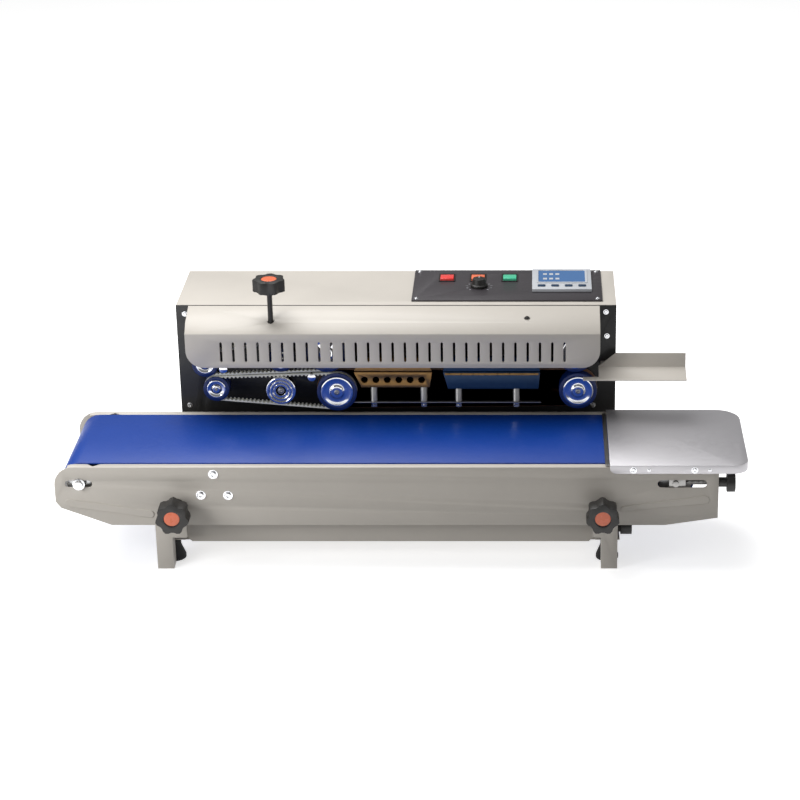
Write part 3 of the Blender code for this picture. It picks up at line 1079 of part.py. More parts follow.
def control_panel():
    """The black panel on the cabinet's top with its openings."""
    low, high = CABINET_TOP + TOUCH, PANEL_FACE
    cuts = []
    for x in SWITCH_X:
        cuts.append(block((x - SWITCH_SIZE[0] / 2 - RUN, x + SWITCH_SIZE[0] / 2 + RUN),
                          (SWITCH_Y - SWITCH_SIZE[1] / 2 - 2 * RUN, SWITCH_Y + SWITCH_SIZE[1] / 2 + 2 * RUN),
                          (low - CLEAR, high + CLEAR)))
    cuts.append(rod("Z", (SPEED_KNOB_X, SPEED_KNOB_Y), STUD_RADIUS + RUN, low - CLEAR, high + CLEAR))
    half = SCREEN_HALF + RUN
    cuts.append(block((SCREEN_MIDDLE[0] - half, SCREEN_MIDDLE[0] + half),
                      (SCREEN_MIDDLE[1] - half, SCREEN_MIDDLE[1] + half), (low - CLEAR, high + CLEAR)))
    node("control_panel", "black_paint", [block(PANEL_X, (CONTROL_FRONT, CONTROL_BACK), (low, high))], cuts)


def switch(name, look, x, parent):
    """A rocker switch key, tipped to its off side."""
    half = SWITCH_SIZE[1] / 2
    outline = [(-half + CLEAR, -5 * MM), (half - CLEAR, -5 * MM), (half - RUN, 2 * MM), (0, 4 * MM),
               (-half + RUN, 2 * MM)]
    tipped = [(SWITCH_Y + a * math.cos(SWITCH_TILT) + b * math.sin(SWITCH_TILT),
               PANEL_FACE - a * math.sin(SWITCH_TILT) + b * math.cos(SWITCH_TILT)) for a, b in outline]
    node(name, look, [prism(tipped, "X", x - SWITCH_SIZE[0] / 2, x + SWITCH_SIZE[0] / 2)],
         origin=(x, SWITCH_Y, PANEL_FACE), parent=parent)


def speed_knob(parent):
    """The belt speed knob."""
    low = PANEL_FACE + TOUCH
    profile = [(0, PANEL_FACE - 8 * MM), (STUD_RADIUS, PANEL_FACE - 8 * MM), (STUD_RADIUS, low),
               (SPEED_KNOB_RADIUS + MM, low), (SPEED_KNOB_RADIUS + MM, low + 3 * MM),
               (SPEED_KNOB_RADIUS - MM, low + 4 * MM), (SPEED_KNOB_RADIUS - CLEAR, low + SPEED_KNOB_HEIGHT),
               (0, low + SPEED_KNOB_HEIGHT)]
    node("speed_knob", "black_plastic", [lathe(profile, "Z", (SPEED_KNOB_X, SPEED_KNOB_Y), KNOB_ROUND)],
         origin=(SPEED_KNOB_X, SPEED_KNOB_Y, PANEL_FACE), parent=parent)


def temperature_controller():
    """The controller with its screen, seated in the panel."""
    x, y = SCREEN_MIDDLE
    low = PANEL_FACE + TOUCH
    half_y = SCREEN_DEPTH / 2
    bezel = block(SCREEN_X, (y - half_y, y + half_y), (low, low + 4 * MM))
    body = block((x - SCREEN_HALF, x + SCREEN_HALF), (y - SCREEN_HALF, y + SCREEN_HALF),
                 (PANEL_FACE - 50 * MM, low + MM))
    node("temperature_controller", "silver_plastic", [bezel, body])


# ---------------------------------------------------------------- the whole machine

def clear_scene():
    """Remove whatever the scene holds."""
    for item in list(bpy.data.objects):
        bpy.data.objects.remove(item)


def build_conveyor():
    """The legs on their slide, and the conveyor on its lift."""
    carriage = frame("carriage", (LEG_MIDDLE, LEG_FRONT, 0))
    for middle, inset, side in LEGS:
        leg(f"{side}_leg", middle, inset, carriage)
    lift = frame("lift", (LEG_MIDDLE, FRONT, CLAMP_HEIGHT), carriage)
    side_panel("front_panel", -1, lift)
    side_panel("rear_panel", 1, lift)
    bed_plate(lift)
    conveyor_belt(lift)
    drive_axle(lift)
    drive_roller(lift)
    conveyor_motor(lift)
    motor_sprocket(lift)
    drive_chain(lift)
    end_plate(lift)
    for middle, inset, side in LEGS:
        clamp_knob(f"{side}_clamp_knob", (middle + inset, CLAMP_HEIGHT), lift)
    tensioner = frame("tensioner", (TAIL_AXLE_X, DEPTH_MIDDLE, AXLE_Z), lift)
    tail_axle(tensioner)
    tail_roller(tensioner)
    tension_knob(lift)


def build_cabinet():
    """The base, the cabinet and what is inside it."""
    base_tray()
    side_knob(None)
    foot("front_left_foot", (TRAY_LEFT - FOOT_RADIUS, TRAY_FRONT + FRONT_FOOT_BACK))
    foot("front_right_foot", (TRAY_RIGHT + FRONT_FOOT_OUT, TRAY_FRONT + FRONT_FOOT_BACK))
    foot("rear_left_foot", (CABINET_LEFT + FOOT_INSET, CABINET_BACK - FOOT_INSET))
    foot("rear_right_foot", (CABINET_RIGHT - FOOT_INSET, CABINET_BACK - FOOT_INSET))
    cabinet_shell()
    front_plate()
    rear_cover()
    fan_housing()
    fan_rotor(None)
    power_inlet()
    main_motor()
    belt_cover()


def build_head():
    """The sealing head and the gears behind it."""
    gear_end = GEAR_FRONT + GEAR_WIDTH + CLEAR
    short_end = PLATE_BACK + CLEAR
    wheel("lower_drive_wheel", DRIVE_WHEEL, DRIVE_WHEEL_RADIUS, None, gear_end, True)
    wheel("upper_drive_wheel", UPPER_DRIVE_WHEEL, DRIVE_WHEEL_RADIUS, None, gear_end, True)
    wheel("lower_tail_wheel", TAIL_WHEEL, TAIL_WHEEL_RADIUS, None, short_end)
    wheel("upper_tail_wheel", UPPER_TAIL_WHEEL, TAIL_WHEEL_RADIUS, None, short_end)
    wheel("lower_guide_wheel", GUIDE_WHEEL, GUIDE_WHEEL_RADIUS, None, short_end, True)
    wheel("upper_guide_wheel", UPPER_GUIDE_WHEEL, GUIDE_WHEEL_RADIUS, None, short_end, True)
    wheel("emboss_wheel", EMBOSS_WHEEL, EMBOSS_WHEEL_RADIUS, None, short_end, look="chrome")
    lower_tooth = math.degrees(math.atan2(UPPER_DRIVE_WHEEL[1] - DRIVE_WHEEL[1],
                                          UPPER_DRIVE_WHEEL[0] - DRIVE_WHEEL[0]))
    upper_tooth = meshing_tooth(DRIVE_WHEEL, GEAR_TEETH, lower_tooth, UPPER_DRIVE_WHEEL, GEAR_TEETH)
    gear("lower_gear", DRIVE_WHEEL, GEAR_TEETH, GEAR_RADIUS, lower_tooth, None)
    gear("upper_gear", UPPER_DRIVE_WHEEL, GEAR_TEETH, GEAR_RADIUS, upper_tooth, None)
    motor_pinion(meshing_tooth(DRIVE_WHEEL, GEAR_TEETH, lower_tooth, PINION, PINION_TEETH), None)
    sealing_bands_and_belts()
    sealing_blocks()
    support_rail()
    press = frame("press", (*PRESS_ROD, ROD_END))
    press_arm(press)
    press_wheel(press)
    pressure_knob(press)
    film_guide()


def build_controls():
    """The control panel and what is on it."""
    control_panel()
    for name, look, x in zip(("power_switch", "sealing_switch", "fan_switch"),
                             ("red_plastic", "orange_plastic", "green_plastic"), SWITCH_X):
        switch(name, look, x, None)
    speed_knob(None)
    temperature_controller()


def main():
    """Build the whole machine."""
    clear_scene()
    build_conveyor()
    build_cabinet()
    build_head()
    build_controls()


main()
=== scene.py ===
"""Looks for a tabletop continuous band sealer: finishes, small fittings, light and camera.

The frame gives every solid in metres, with +X along the conveyor, +Y to the back and +Z up. Each class
below is one sub-assembly. It works its places out from the frame, builds its small fittings and dresses the
solids.
"""

import json
import logging
import math
from dataclasses import dataclass, field
from enum import Enum
from typing import Any, Iterable, Sequence

import bmesh
import bpy
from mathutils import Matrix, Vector

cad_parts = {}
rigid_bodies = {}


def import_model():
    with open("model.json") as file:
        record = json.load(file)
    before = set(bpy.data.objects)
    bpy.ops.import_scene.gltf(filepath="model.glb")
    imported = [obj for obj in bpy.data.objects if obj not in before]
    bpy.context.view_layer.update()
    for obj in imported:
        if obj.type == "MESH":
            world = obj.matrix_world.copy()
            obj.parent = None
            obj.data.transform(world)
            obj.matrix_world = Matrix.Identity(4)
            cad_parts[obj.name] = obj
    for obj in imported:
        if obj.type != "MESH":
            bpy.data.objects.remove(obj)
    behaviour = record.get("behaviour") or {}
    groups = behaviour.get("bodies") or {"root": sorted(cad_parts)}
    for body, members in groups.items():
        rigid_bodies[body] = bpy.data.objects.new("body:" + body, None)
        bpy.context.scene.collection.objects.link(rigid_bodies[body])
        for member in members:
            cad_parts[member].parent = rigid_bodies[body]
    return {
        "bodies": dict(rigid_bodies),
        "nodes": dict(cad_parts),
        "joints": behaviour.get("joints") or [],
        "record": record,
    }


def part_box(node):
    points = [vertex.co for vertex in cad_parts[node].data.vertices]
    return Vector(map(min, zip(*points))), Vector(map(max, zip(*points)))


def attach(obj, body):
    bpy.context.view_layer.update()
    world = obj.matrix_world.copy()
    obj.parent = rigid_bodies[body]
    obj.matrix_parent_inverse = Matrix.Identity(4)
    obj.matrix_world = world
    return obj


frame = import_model()

LOG = logging.getLogger("band_sealer")
MM = 0.001

Point = tuple[float, float, float]
Flat = tuple[float, float]
Colour = tuple[int, int, int]


# ---------------------------------------------------------------- shader language


class Value:
    """A shader socket that can be used in arithmetic."""

    def __init__(self, shader: "Shader", socket: bpy.types.NodeSocket) -> None:
        """Keeps the socket and the shader it belongs to.

        Args:
            shader: the shader that owns the socket.
            socket: an output socket.
        """
        self.shader = shader
        self.socket = socket

    def _maths(self, operation: str, first: Any, second: Any = 0.0, clamp: bool = False) -> "Value":
        """Adds a node for one operation, on numbers or on vectors.

        Args:
            operation: the Math node's operation.
            first: the left operand.
            second: the right operand.
            clamp: keeps the result between 0 and 1.

        Returns:
            The result.
        """
        return self.shader.add("ShaderNodeMath", {"operation": operation, "use_clamp": clamp},
                               {0: first, 1: second})

    def __add__(self, other: Any) -> "Value":
        """Sum."""
        return self._maths("ADD", self, other)

    def __radd__(self, other: Any) -> "Value":
        """Sum with a number on the left."""
        return self._maths("ADD", other, self)

    def __sub__(self, other: Any) -> "Value":
        """Difference."""
        return self._maths("SUBTRACT", self, other)

    def __rsub__(self, other: Any) -> "Value":
        """Difference from a number."""
        return self._maths("SUBTRACT", other, self)

    def __mul__(self, other: Any) -> "Value":
        """Product."""
        return self._maths("MULTIPLY", self, other)

    def __rmul__(self, other: Any) -> "Value":
        """Product with a number on the left."""
        return self._maths("MULTIPLY", other, self)

    def __truediv__(self, other: Any) -> "Value":
        """Quotient."""
        return self._maths("DIVIDE", self, other)

    def __rtruediv__(self, other: Any) -> "Value":
        """A number divided by this."""
        return self._maths("DIVIDE", other, self)

    def __gt__(self, other: Any) -> "Value":
        """1 where this is greater, 0 elsewhere."""
        return self._maths("GREATER_THAN", self, other)

    def clamped(self) -> "Value":
        """This value kept between 0 and 1."""
        return self._maths("ADD", self, 0.0, clamp=True)


class Shader:
    """One material's node tree with a Principled surface."""

    def __init__(self, name: str) -> None:
        """Starts an empty tree with its surface and output.

        Args:
            name: the material's name.
        """
        self.material = bpy.data.materials.new(name)
        self.material.use_nodes = True
        self.tree = self.material.node_tree
        self.tree.nodes.clear()
        self.surface = self.tree.nodes.new("ShaderNodeBsdfPrincipled")
        output = self.tree.nodes.new("ShaderNodeOutputMaterial")
        self.tree.links.new(self.surface.outputs["BSDF"], output.inputs["Surface"])

    def put(self, socket: bpy.types.NodeSocket, given: Any) -> None:
        """Links a value to a socket, or sets the socket to a plain number or colour.

        Args:
            socket: an input socket.
            given: a Value, a number or a colour.
        """
        if isinstance(given, Value):
            self.tree.links.new(given.socket, socket)
        else:
            socket.default_value = given

    def add(self, kind: str, settings: dict[str, Any], inputs: dict[Any, Any], output: Any = 0) -> Value:
        """Adds any node.

        Args:
            kind: the node's type name.
            settings: attributes that are set first; "stops" fills a ramp as (place, colour) pairs.
            inputs: values or links by socket name or number.
            output: the output socket's name or number.

        Returns:
            The chosen output.
        """
        node = self.tree.nodes.new(kind)
        for key, value in settings.items():
            if key == "stops":
                self._fill_ramp(node, value)
            else:
                setattr(node, key, value)
        for key, value in inputs.items():
            self.put(node.inputs[key], value)
        return Value(self, node.outputs[output])

    @staticmethod
    def _fill_ramp(node: bpy.types.Node, stops: Sequence[tuple[float, Sequence[float]]]) -> None:
        """Writes a ramp's stops.

        Args:
            node: the Color Ramp node.
            stops: (place, colour) pairs from low to high.
        """
        elements = node.color_ramp.elements
        while len(elements) < len(stops):
            elements.new(1.0)
        for element, (place, colour) in zip(elements, stops):
            element.position = place
            element.color = colour

    def place(self, stretch: Point = (1.0, 1.0, 1.0)) -> Value:
        """Object coordinates in metres, scaled along each axis.

        Args:
            stretch: the three scale factors.

        Returns:
            The coordinates.
        """
        where = self.add("ShaderNodeTexCoord", {}, {}, "Object")
        return self.add("ShaderNodeMapping", {}, {"Vector": where, "Scale": stretch})

    def noise(self, size: float, detail: float = 3.0, stretch: Point = (1.0, 1.0, 1.0)) -> Value:
        """Smooth noise of a real size.

        Args:
            size: metres across one blob.
            detail: number of finer layers.
            stretch: scale along each axis.

        Returns:
            The noise, from 0 to 1.
        """
        return self.add("ShaderNodeTexNoise", {},
                        {"Vector": self.place(stretch), "Scale": 1.0 / size, "Detail": detail},
                        "Fac")

    def blend(self, share: Value, first: Any, second: Any) -> Value:
        """Mixes two colours.

        Args:
            share: how much of the second shows.
            first: a colour or a link.
            second: a colour or a link.

        Returns:
            The mixed colour.
        """
        return self.add("ShaderNodeMix", {"data_type": "RGBA"}, {"Factor": share, 6: first, 7: second}, 2)

    def bump(self, height: Value, depth: float, under: Value | None = None) -> Value:
        """Turns a height into a normal.

        Args:
            height: the height, from 0 to 1.
            depth: metres from lowest to highest.
            under: a normal to build on.

        Returns:
            The normal.
        """
        links: dict[Any, Any] = {"Height": height, "Distance": depth, "Strength": 1.0}
        if under is not None:
            links["Normal"] = under
        return self.add("ShaderNodeBump", {}, links, "Normal")


def linear(colour: Colour, gain: float = 1.0) -> tuple[float, float, float, float]:
    """Turns a display colour of 0 to 255 into scene light.

    Args:
        colour: red, green and blue.
        gain: brightens or darkens it.

    Returns:
        Linear red, green, blue and alpha.
    """
    parts = [((c / 255) / 12.92 if c <= 10 else ((c / 255 + 0.055) / 1.055) ** 2.4) for c in colour]
    return (*(min(1.0, p * gain) for p in parts), 1.0)


# ---------------------------------------------------------------- finishes


class Grain(Enum):
    """How a surface is worked."""

    ORANGE_PEEL = "orange peel"
    BRUSHED = "brushed along X"
    TURNED = "turned"
    MOULDED = "moulded"
    CAST = "cast"
    CLOTH = "cloth"
    POLISHED = "polished"


BRUSH_STREAK = 0.02            # grain squeezed along a brushed or turned surface
TURNED_STREAK = 0.05
CELL = 6.0                     # grain sizes to one wave of a woven grain
COARSE_SHARE, FINE_SIZE = 0.6, 0.25
FINE_PATCHES = 9.0
MOTTLE_SHARE = 0.7
SCRATCH_SIZE, SCRATCH_DEPTH = 2.5 * MM, 0.02 * MM
SCRATCH_STRETCH = (0.12, 1.0, 0.7)
SCRATCH_LEVEL, SCRATCH_EDGE = 0.62, 8.0
WORN_LIGHTER = 1.25
FINE_ROUGH, WORN_ROUGH = 0.18, 0.3
COAT_ROUGHNESS = 0.12


@dataclass(frozen=True)
class Finish:
    """One finish with its colour, gloss, grain and dirt."""

    slot: str
    colour: Colour
    roughness: float
    grain: Grain
    metallic: float = 0.0
    coat: float = 0.0
    shade: float = 0.12
    patch: float = 60 * MM
    grain_size: float = 1.2 * MM
    grain_depth: float = 0.05 * MM
    scuff: float = 0.15
    glow: float = 0.0
    named: str = ""

    @property
    def title(self) -> str:
        """The finish's own name, or its slot's."""
        return self.named or self.slot

    def _height(self, shader: Shader) -> Value:
        """The fine relief of this grain.

        Args:
            shader: the tree it is added to.

        Returns:
            The height, from 0 to 1.
        """
        size = self.grain_size
        if self.grain is Grain.BRUSHED:
            return shader.noise(size, 4.0, (BRUSH_STREAK, 1.0, 1.0))
        if self.grain is Grain.TURNED:
            return shader.noise(size, 4.0, (1.0, TURNED_STREAK, 1.0))
        if self.grain is Grain.CLOTH:
            across = shader.add("ShaderNodeTexWave", {"bands_direction": "X"},
                                {"Vector": shader.place(), "Scale": 1.0 / size / CELL})
            along = shader.add("ShaderNodeTexWave", {"bands_direction": "Z"},
                               {"Vector": shader.place(), "Scale": 1.0 / size / CELL})
            return across * 0.5 + along * 0.5
        if self.grain is Grain.CAST:
            fine = shader.noise(size * FINE_SIZE, 2.0) * (1 - COARSE_SHARE)
            return shader.noise(size, 6.0) * COARSE_SHARE + fine
        return shader.noise(size, 2.0)

    def build(self) -> bpy.types.Material:
        """Builds the material.

        Returns:
            The finished material.
        """
        shader = Shader(self.title)
        mottle = shader.noise(self.patch, 4.0)
        fine = shader.noise(self.patch / FINE_PATCHES, 5.0)
        scratches = shader.noise(SCRATCH_SIZE, 5.0, SCRATCH_STRETCH)
        worn = ((scratches - SCRATCH_LEVEL) * SCRATCH_EDGE).clamped() * self.scuff
        tone = ((mottle * MOTTLE_SHARE + fine * (1 - MOTTLE_SHARE)) - 0.5) * 2.0 + 0.5
        base = shader.blend(tone.clamped(), linear(self.colour, 1.0 - self.shade),
                            linear(self.colour, 1.0 + self.shade / 2))
        lighter = linear(self.colour, WORN_LIGHTER)
        shader.put(shader.surface.inputs["Base Color"], shader.blend(worn, base, lighter))
        rough = self.roughness + (fine - 0.5) * FINE_ROUGH + worn * WORN_ROUGH
        shader.put(shader.surface.inputs["Roughness"], rough.clamped())
        shader.surface.inputs["Metallic"].default_value = self.metallic
        shader.surface.inputs["Coat Weight"].default_value = self.coat
        shader.surface.inputs["Coat Roughness"].default_value = COAT_ROUGHNESS
        relief = shader.bump(self._height(shader), self.grain_depth)
        shader.put(shader.surface.inputs["Normal"], shader.bump(worn, SCRATCH_DEPTH, relief))
        if self.glow:
            shader.surface.inputs["Emission Color"].default_value = linear(self.colour)
            shader.surface.inputs["Emission Strength"].default_value = self.glow
        return shader.material


FINISHES: tuple[Finish, ...] = (
    Finish("beige_paint", (204, 198, 189), 0.45, Grain.ORANGE_PEEL, coat=0.08, shade=0.04,
           grain_depth=0.03 * MM,
           scuff=0.05),
    Finish("black_paint", (13, 13, 14), 0.5, Grain.ORANGE_PEEL, coat=0.1, grain_depth=0.04 * MM, scuff=0.25),
    Finish("black_plastic", (27, 25, 23), 0.48, Grain.MOULDED, grain_size=0.6 * MM, grain_depth=0.03 * MM),
    Finish("orange_plastic", (243, 120, 78), 0.28, Grain.MOULDED, coat=0.3, grain_depth=0.01 * MM),
    Finish("black_rubber", (19, 19, 20), 0.75, Grain.MOULDED, grain_size=0.5 * MM, grain_depth=0.06 * MM),
    Finish("belt_blue", (0, 60, 152), 0.42, Grain.POLISHED, coat=0.0, shade=0.06, grain_depth=0.01 * MM,
           scuff=0.04),
    Finish("wheel_blue", (6, 34, 92), 0.38, Grain.TURNED, grain_depth=0.03 * MM),
    Finish("belt_white", (214, 214, 204), 0.6, Grain.MOULDED, shade=0.22, patch=18 * MM, scuff=0.3),
    Finish("band_brown", (128, 92, 70), 0.45, Grain.CLOTH, shade=0.2, patch=15 * MM, grain_size=0.8 * MM),
    Finish("stainless", (200, 198, 201), 0.42, Grain.BRUSHED, metallic=0.7, shade=0.04, grain_size=0.5 * MM,
           grain_depth=0.002 * MM, scuff=0.03),
    Finish("steel", (158, 157, 155), 0.34, Grain.TURNED, metallic=1.0, grain_size=0.4 * MM,
           grain_depth=0.01 * MM),
    Finish("chrome", (224, 225, 228), 0.1, Grain.TURNED, metallic=1.0, shade=0.05, grain_depth=0.004 * MM),
    Finish("brass", (150, 116, 72), 0.4, Grain.BRUSHED, metallic=1.0, shade=0.22, patch=14 * MM, scuff=0.3),
    Finish("blued_steel", (30, 60, 92), 0.4, Grain.BRUSHED, metallic=0.35, shade=0.2, patch=14 * MM),
    Finish("aluminium", (186, 187, 188), 0.36, Grain.CAST, metallic=1.0, grain_size=0.9 * MM,
           grain_depth=0.05 * MM),
    Finish("red_plastic", (226, 66, 62), 0.26, Grain.MOULDED, coat=0.3, grain_depth=0.01 * MM, glow=0.15),
    Finish("green_plastic", (70, 186, 146), 0.26, Grain.MOULDED, coat=0.3, grain_depth=0.01 * MM, glow=0.15),
    Finish("silver_plastic", (196, 199, 204), 0.36, Grain.MOULDED, grain_depth=0.02 * MM),
    Finish("silver_plastic", (52, 98, 150), 0.12, Grain.POLISHED, coat=0.6, grain_depth=0.002 * MM, glow=0.35,
           named="screen_blue"),
    Finish("black_paint", (54, 50, 54), 0.45, Grain.ORANGE_PEEL, coat=0.15, grain_depth=0.03 * MM, scuff=0.1,
           named="panel_grey"),
)


# ---------------------------------------------------------------- mesh making


class Axis(Enum):
    """The axis a piece is turned or drawn along, with the two axes its flat outline lies in."""

    X = (1, 2, 0)
    Y = (0, 2, 1)
    Z = (0, 1, 2)

    def at(self, across: float, up: float, along: float) -> Vector:
        """A point from its two outline coordinates and its distance along the axis."""
        spot = Vector((0.0, 0.0, 0.0))
        for index, amount in zip(self.value, (across, up, along)):
            spot[index] = amount
        return spot


def ring(sides: int, radius: float, centre: Flat = (0.0, 0.0), turn: float = 0.0) -> list[Flat]:
    """Points evenly round a circle.

    Args:
        sides: number of points.
        radius: the circle's radius.
        centre: its centre.
        turn: angle of the first point.

    Returns:
        The points.
    """
    steps = (turn + math.tau * i / sides for i in range(sides))
    return [(centre[0] + radius * math.cos(a), centre[1] + radius * math.sin(a)) for a in steps]


def slab(corner: Flat, opposite: Flat, radius: float, steps: int = 4) -> list[Flat]:
    """A rectangle with rounded corners.

    Args:
        corner: its lowest corner.
        opposite: its highest corner.
        radius: the corners' radius.
        steps: points per corner, less one.

    Returns:
        The outline.
    """
    low, high = (corner[0] + radius, corner[1] + radius), (opposite[0] - radius, opposite[1] - radius)
    middles = ((high[0], high[1]), (low[0], high[1]), (low[0], low[1]), (high[0], low[1]))
    return [(m[0] + radius * math.cos(a), m[1] + radius * math.sin(a))
            for quarter, m in enumerate(middles)
            for a in (math.pi / 2 * (quarter + i / steps) for i in range(steps + 1))]


class Workshop:
    """Turns outlines into finished pieces and keeps the materials."""

    weld: float = 1e-7
    normal_weight: int = 80
    smooth_angle: float = math.radians(34)
    wire_sides: int = 6
    turn_steps: int = 14
    screw_seat: float = 0.3 * MM
    screw_sides: int = 20
    screw_head: tuple[Flat, ...] = ((0.22, 1.45), (0.22, 1.0), (0.8, 1.0), (1.0, 0.82), (1.0, 0.45),
                                    (0.45, 0.45),
                                    (0.4, 0.0))

    def __init__(self, frame: dict[str, Any]) -> None:
        """Builds every finish.
        """
        self.frame = frame
        self.materials = {finish.title: finish.build() for finish in FINISHES}
        self.slots = {finish.title: finish.slot for finish in FINISHES}

    def _make(self, name: str, slot: str, body: str, mesh: bmesh.types.BMesh,
              edge: float) -> bpy.types.Object:
        """Closes a piece's mesh, gives it its finish and lets it ride its body.

        Args:
            name: the piece's name.
            slot: its finish.
            body: the body it rides.
            mesh: its faces.
            edge: width of the softened edges; 0 leaves them sharp.

        Returns:
            The piece.
        """
        bmesh.ops.remove_doubles(mesh, verts=mesh.verts, dist=self.weld)
        bmesh.ops.recalc_face_normals(mesh, faces=mesh.faces)
        for face in mesh.faces:
            face.smooth = True
        for line in mesh.edges:
            line.smooth = len(line.link_faces) == 2 and line.calc_face_angle(0.0) < self.smooth_angle
        data = bpy.data.meshes.new(name)
        mesh.to_mesh(data)
        mesh.free()
        piece = bpy.data.objects.new(name, data)
        bpy.context.scene.collection.objects.link(piece)
        data.materials.append(self.materials[slot])
        self.soften(piece, edge)
        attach(piece, body)
        return piece

    @staticmethod
    def soften(piece: bpy.types.Object, edge: float, angle: float = math.radians(38)) -> None:
        """Rounds the sharp edges and shades the rest smooth.

        Args:
            piece: the object.
            edge: width of the rounding; 0 adds none.
            angle: edges sharper than this are rounded.
        """
        if edge > 0:
            bevel = piece.modifiers.new("edges", "BEVEL")
            bevel.width, bevel.segments = edge, 2
            bevel.limit_method, bevel.angle_limit = "ANGLE", angle
            bevel.use_clamp_overlap = True
            bevel.harden_normals = False
        weighted = piece.modifiers.new("shading", "WEIGHTED_NORMAL")
        weighted.keep_sharp = True
        weighted.weight = Workshop.normal_weight

    def turned(self, name: str, slot: str, body: str, profile: Iterable[Flat], axis: Axis, centre: Vector,
               sides: int = 40, edge: float = 0.15 * MM) -> bpy.types.Object:
        """A piece turned on a lathe.

        Args:
            name: the piece's name.
            slot: its finish.
            body: the body it rides.
            profile: (distance along the axis, radius) pairs; both ends close on the axis.
            axis: the axis it is turned about.
            centre: a point on that axis.
            sides: points round the piece.
            edge: width of the softened edges.

        Returns:
            The piece.
        """
        mesh = bmesh.new()
        rings = []
        for along, radius in profile:
            count = 1 if radius <= 0 else sides
            rings.append([mesh.verts.new(centre + axis.at(a, b, along)) for a,
                          b in ring(count, max(radius, 0.0))])
        for near, far in zip(rings, rings[1:]):
            for i in range(sides):
                corners = [near[i % len(near)], near[(i + 1) % len(near)], far[(i + 1) % len(far)],
                           far[i % len(far)]]
                unique = list(dict.fromkeys(corners))
                if len(unique) > 2:
                    mesh.faces.new(unique)
        return self._make(name, slot, body, mesh, edge)

    def cut(self, name: str, slot: str, body: str, outline: Sequence[Flat], axis: Axis, low: float,
            high: float,
            edge: float = 0.2 * MM) -> bpy.types.Object:
        """A flat outline drawn out along an axis.

        Args:
            name: the piece's name.
            slot: its finish.
            body: the body it rides.
            outline: the closed outline.
            axis: the axis it is drawn along.
            low: where it starts.
            high: where it ends.
            edge: width of the softened edges.

        Returns:
            The piece.
        """
        mesh = bmesh.new()
        near = [mesh.verts.new(axis.at(a, b, low)) for a, b in outline]
        far = [mesh.verts.new(axis.at(a, b, high)) for a, b in outline]
        mesh.faces.new(near)
        mesh.faces.new(far)
        for i, (a, b) in enumerate(zip(near, far)):
            j = (i + 1) % len(near)
            mesh.faces.new((a, near[j], far[j], b))
        return self._make(name, slot, body, mesh, edge)

    def ringed(self, name: str, slot: str, body: str, outer: Sequence[Flat], inner: Sequence[Flat],
               axis: Axis,
               low: float, high: float, edge: float = 0.25 * MM) -> bpy.types.Object:
        """A flat frame between two outlines with as many points each.

        Args:
            name: the piece's name.
            slot: its finish.
            body: the body it rides.
            outer: the outside outline.
            inner: the outline of the hole.
            axis: the axis it is drawn along.
            low: where it starts.
            high: where it ends.
            edge: width of the softened edges.

        Returns:
            The piece.
        """
        mesh = bmesh.new()
        loops = [[mesh.verts.new(axis.at(a, b, level)) for a, b in outline]
                 for outline, level in ((outer, low), (outer, high), (inner, high), (inner, low))]
        for near, far in zip(loops, loops[1:] + loops[:1]):
            for i in range(len(near)):
                j = (i + 1) % len(near)
                mesh.faces.new((near[i], near[j], far[j], far[i]))
        return self._make(name, slot, body, mesh, edge)

    def wound(self, name: str, slot: str, body: str, centre: Vector, radius: float, wire: float,
              length: float,
              turns: float, axis: Axis) -> bpy.types.Object:
        """A coil of wire, for springs and threads.

        Args:
            name: the piece's name.
            slot: its finish.
            body: the body it rides.
            centre: the middle of its start.
            radius: radius of the coil.
            wire: radius of the wire.
            length: its length along the axis.
            turns: number of turns.
            axis: the axis it winds about.

        Returns:
            The piece.
        """
        steps, around = int(turns * self.turn_steps), self.wire_sides
        mesh = bmesh.new()
        loops = []
        for step in range(steps + 1):
            share = step / steps
            angle = math.tau * turns * share
            loops.append([mesh.verts.new(centre + axis.at((radius + a) * math.cos(angle),
                                                          (radius + a) * math.sin(angle),
                                                         length * share + b)) for a, b in ring(around, wire)])
        for near, far in zip(loops, loops[1:]):
            for i in range(around):
                j = (i + 1) % around
                mesh.faces.new((near[i], near[j], far[j], far[i]))
        mesh.faces.new(loops[0])
        mesh.faces.new(loops[-1])
        return self._make(name, slot, body, mesh, 0.0)

    def socket_screw(self, name: str, body: str, centre: Vector, axis: Axis, radius: float, height: float,
                     facing: int = -1, slot: str = "chrome") -> bpy.types.Object:
        """A cap screw: a domed head with a round socket, on a washer.

        Args:
            name: the piece's name.
            body: the body it rides.
            centre: the middle of the face it sits on.
            axis: the axis it points along.
            radius: the head's radius.
            height: the head's height.
            facing: 1 or -1, the way the head stands.
            slot: its finish.

        Returns:
            The piece.
        """
        profile = [(-self.screw_seat, radius * share) for share in (0.0, self.screw_head[0][1])]
        profile += [(height * up, radius * out) for up, out in self.screw_head]
        return self.turned(name, slot, body, [(facing * along, r) for along, r in profile], axis, centre,
                           self.screw_sides)


# ---------------------------------------------------------------- dressing the solids


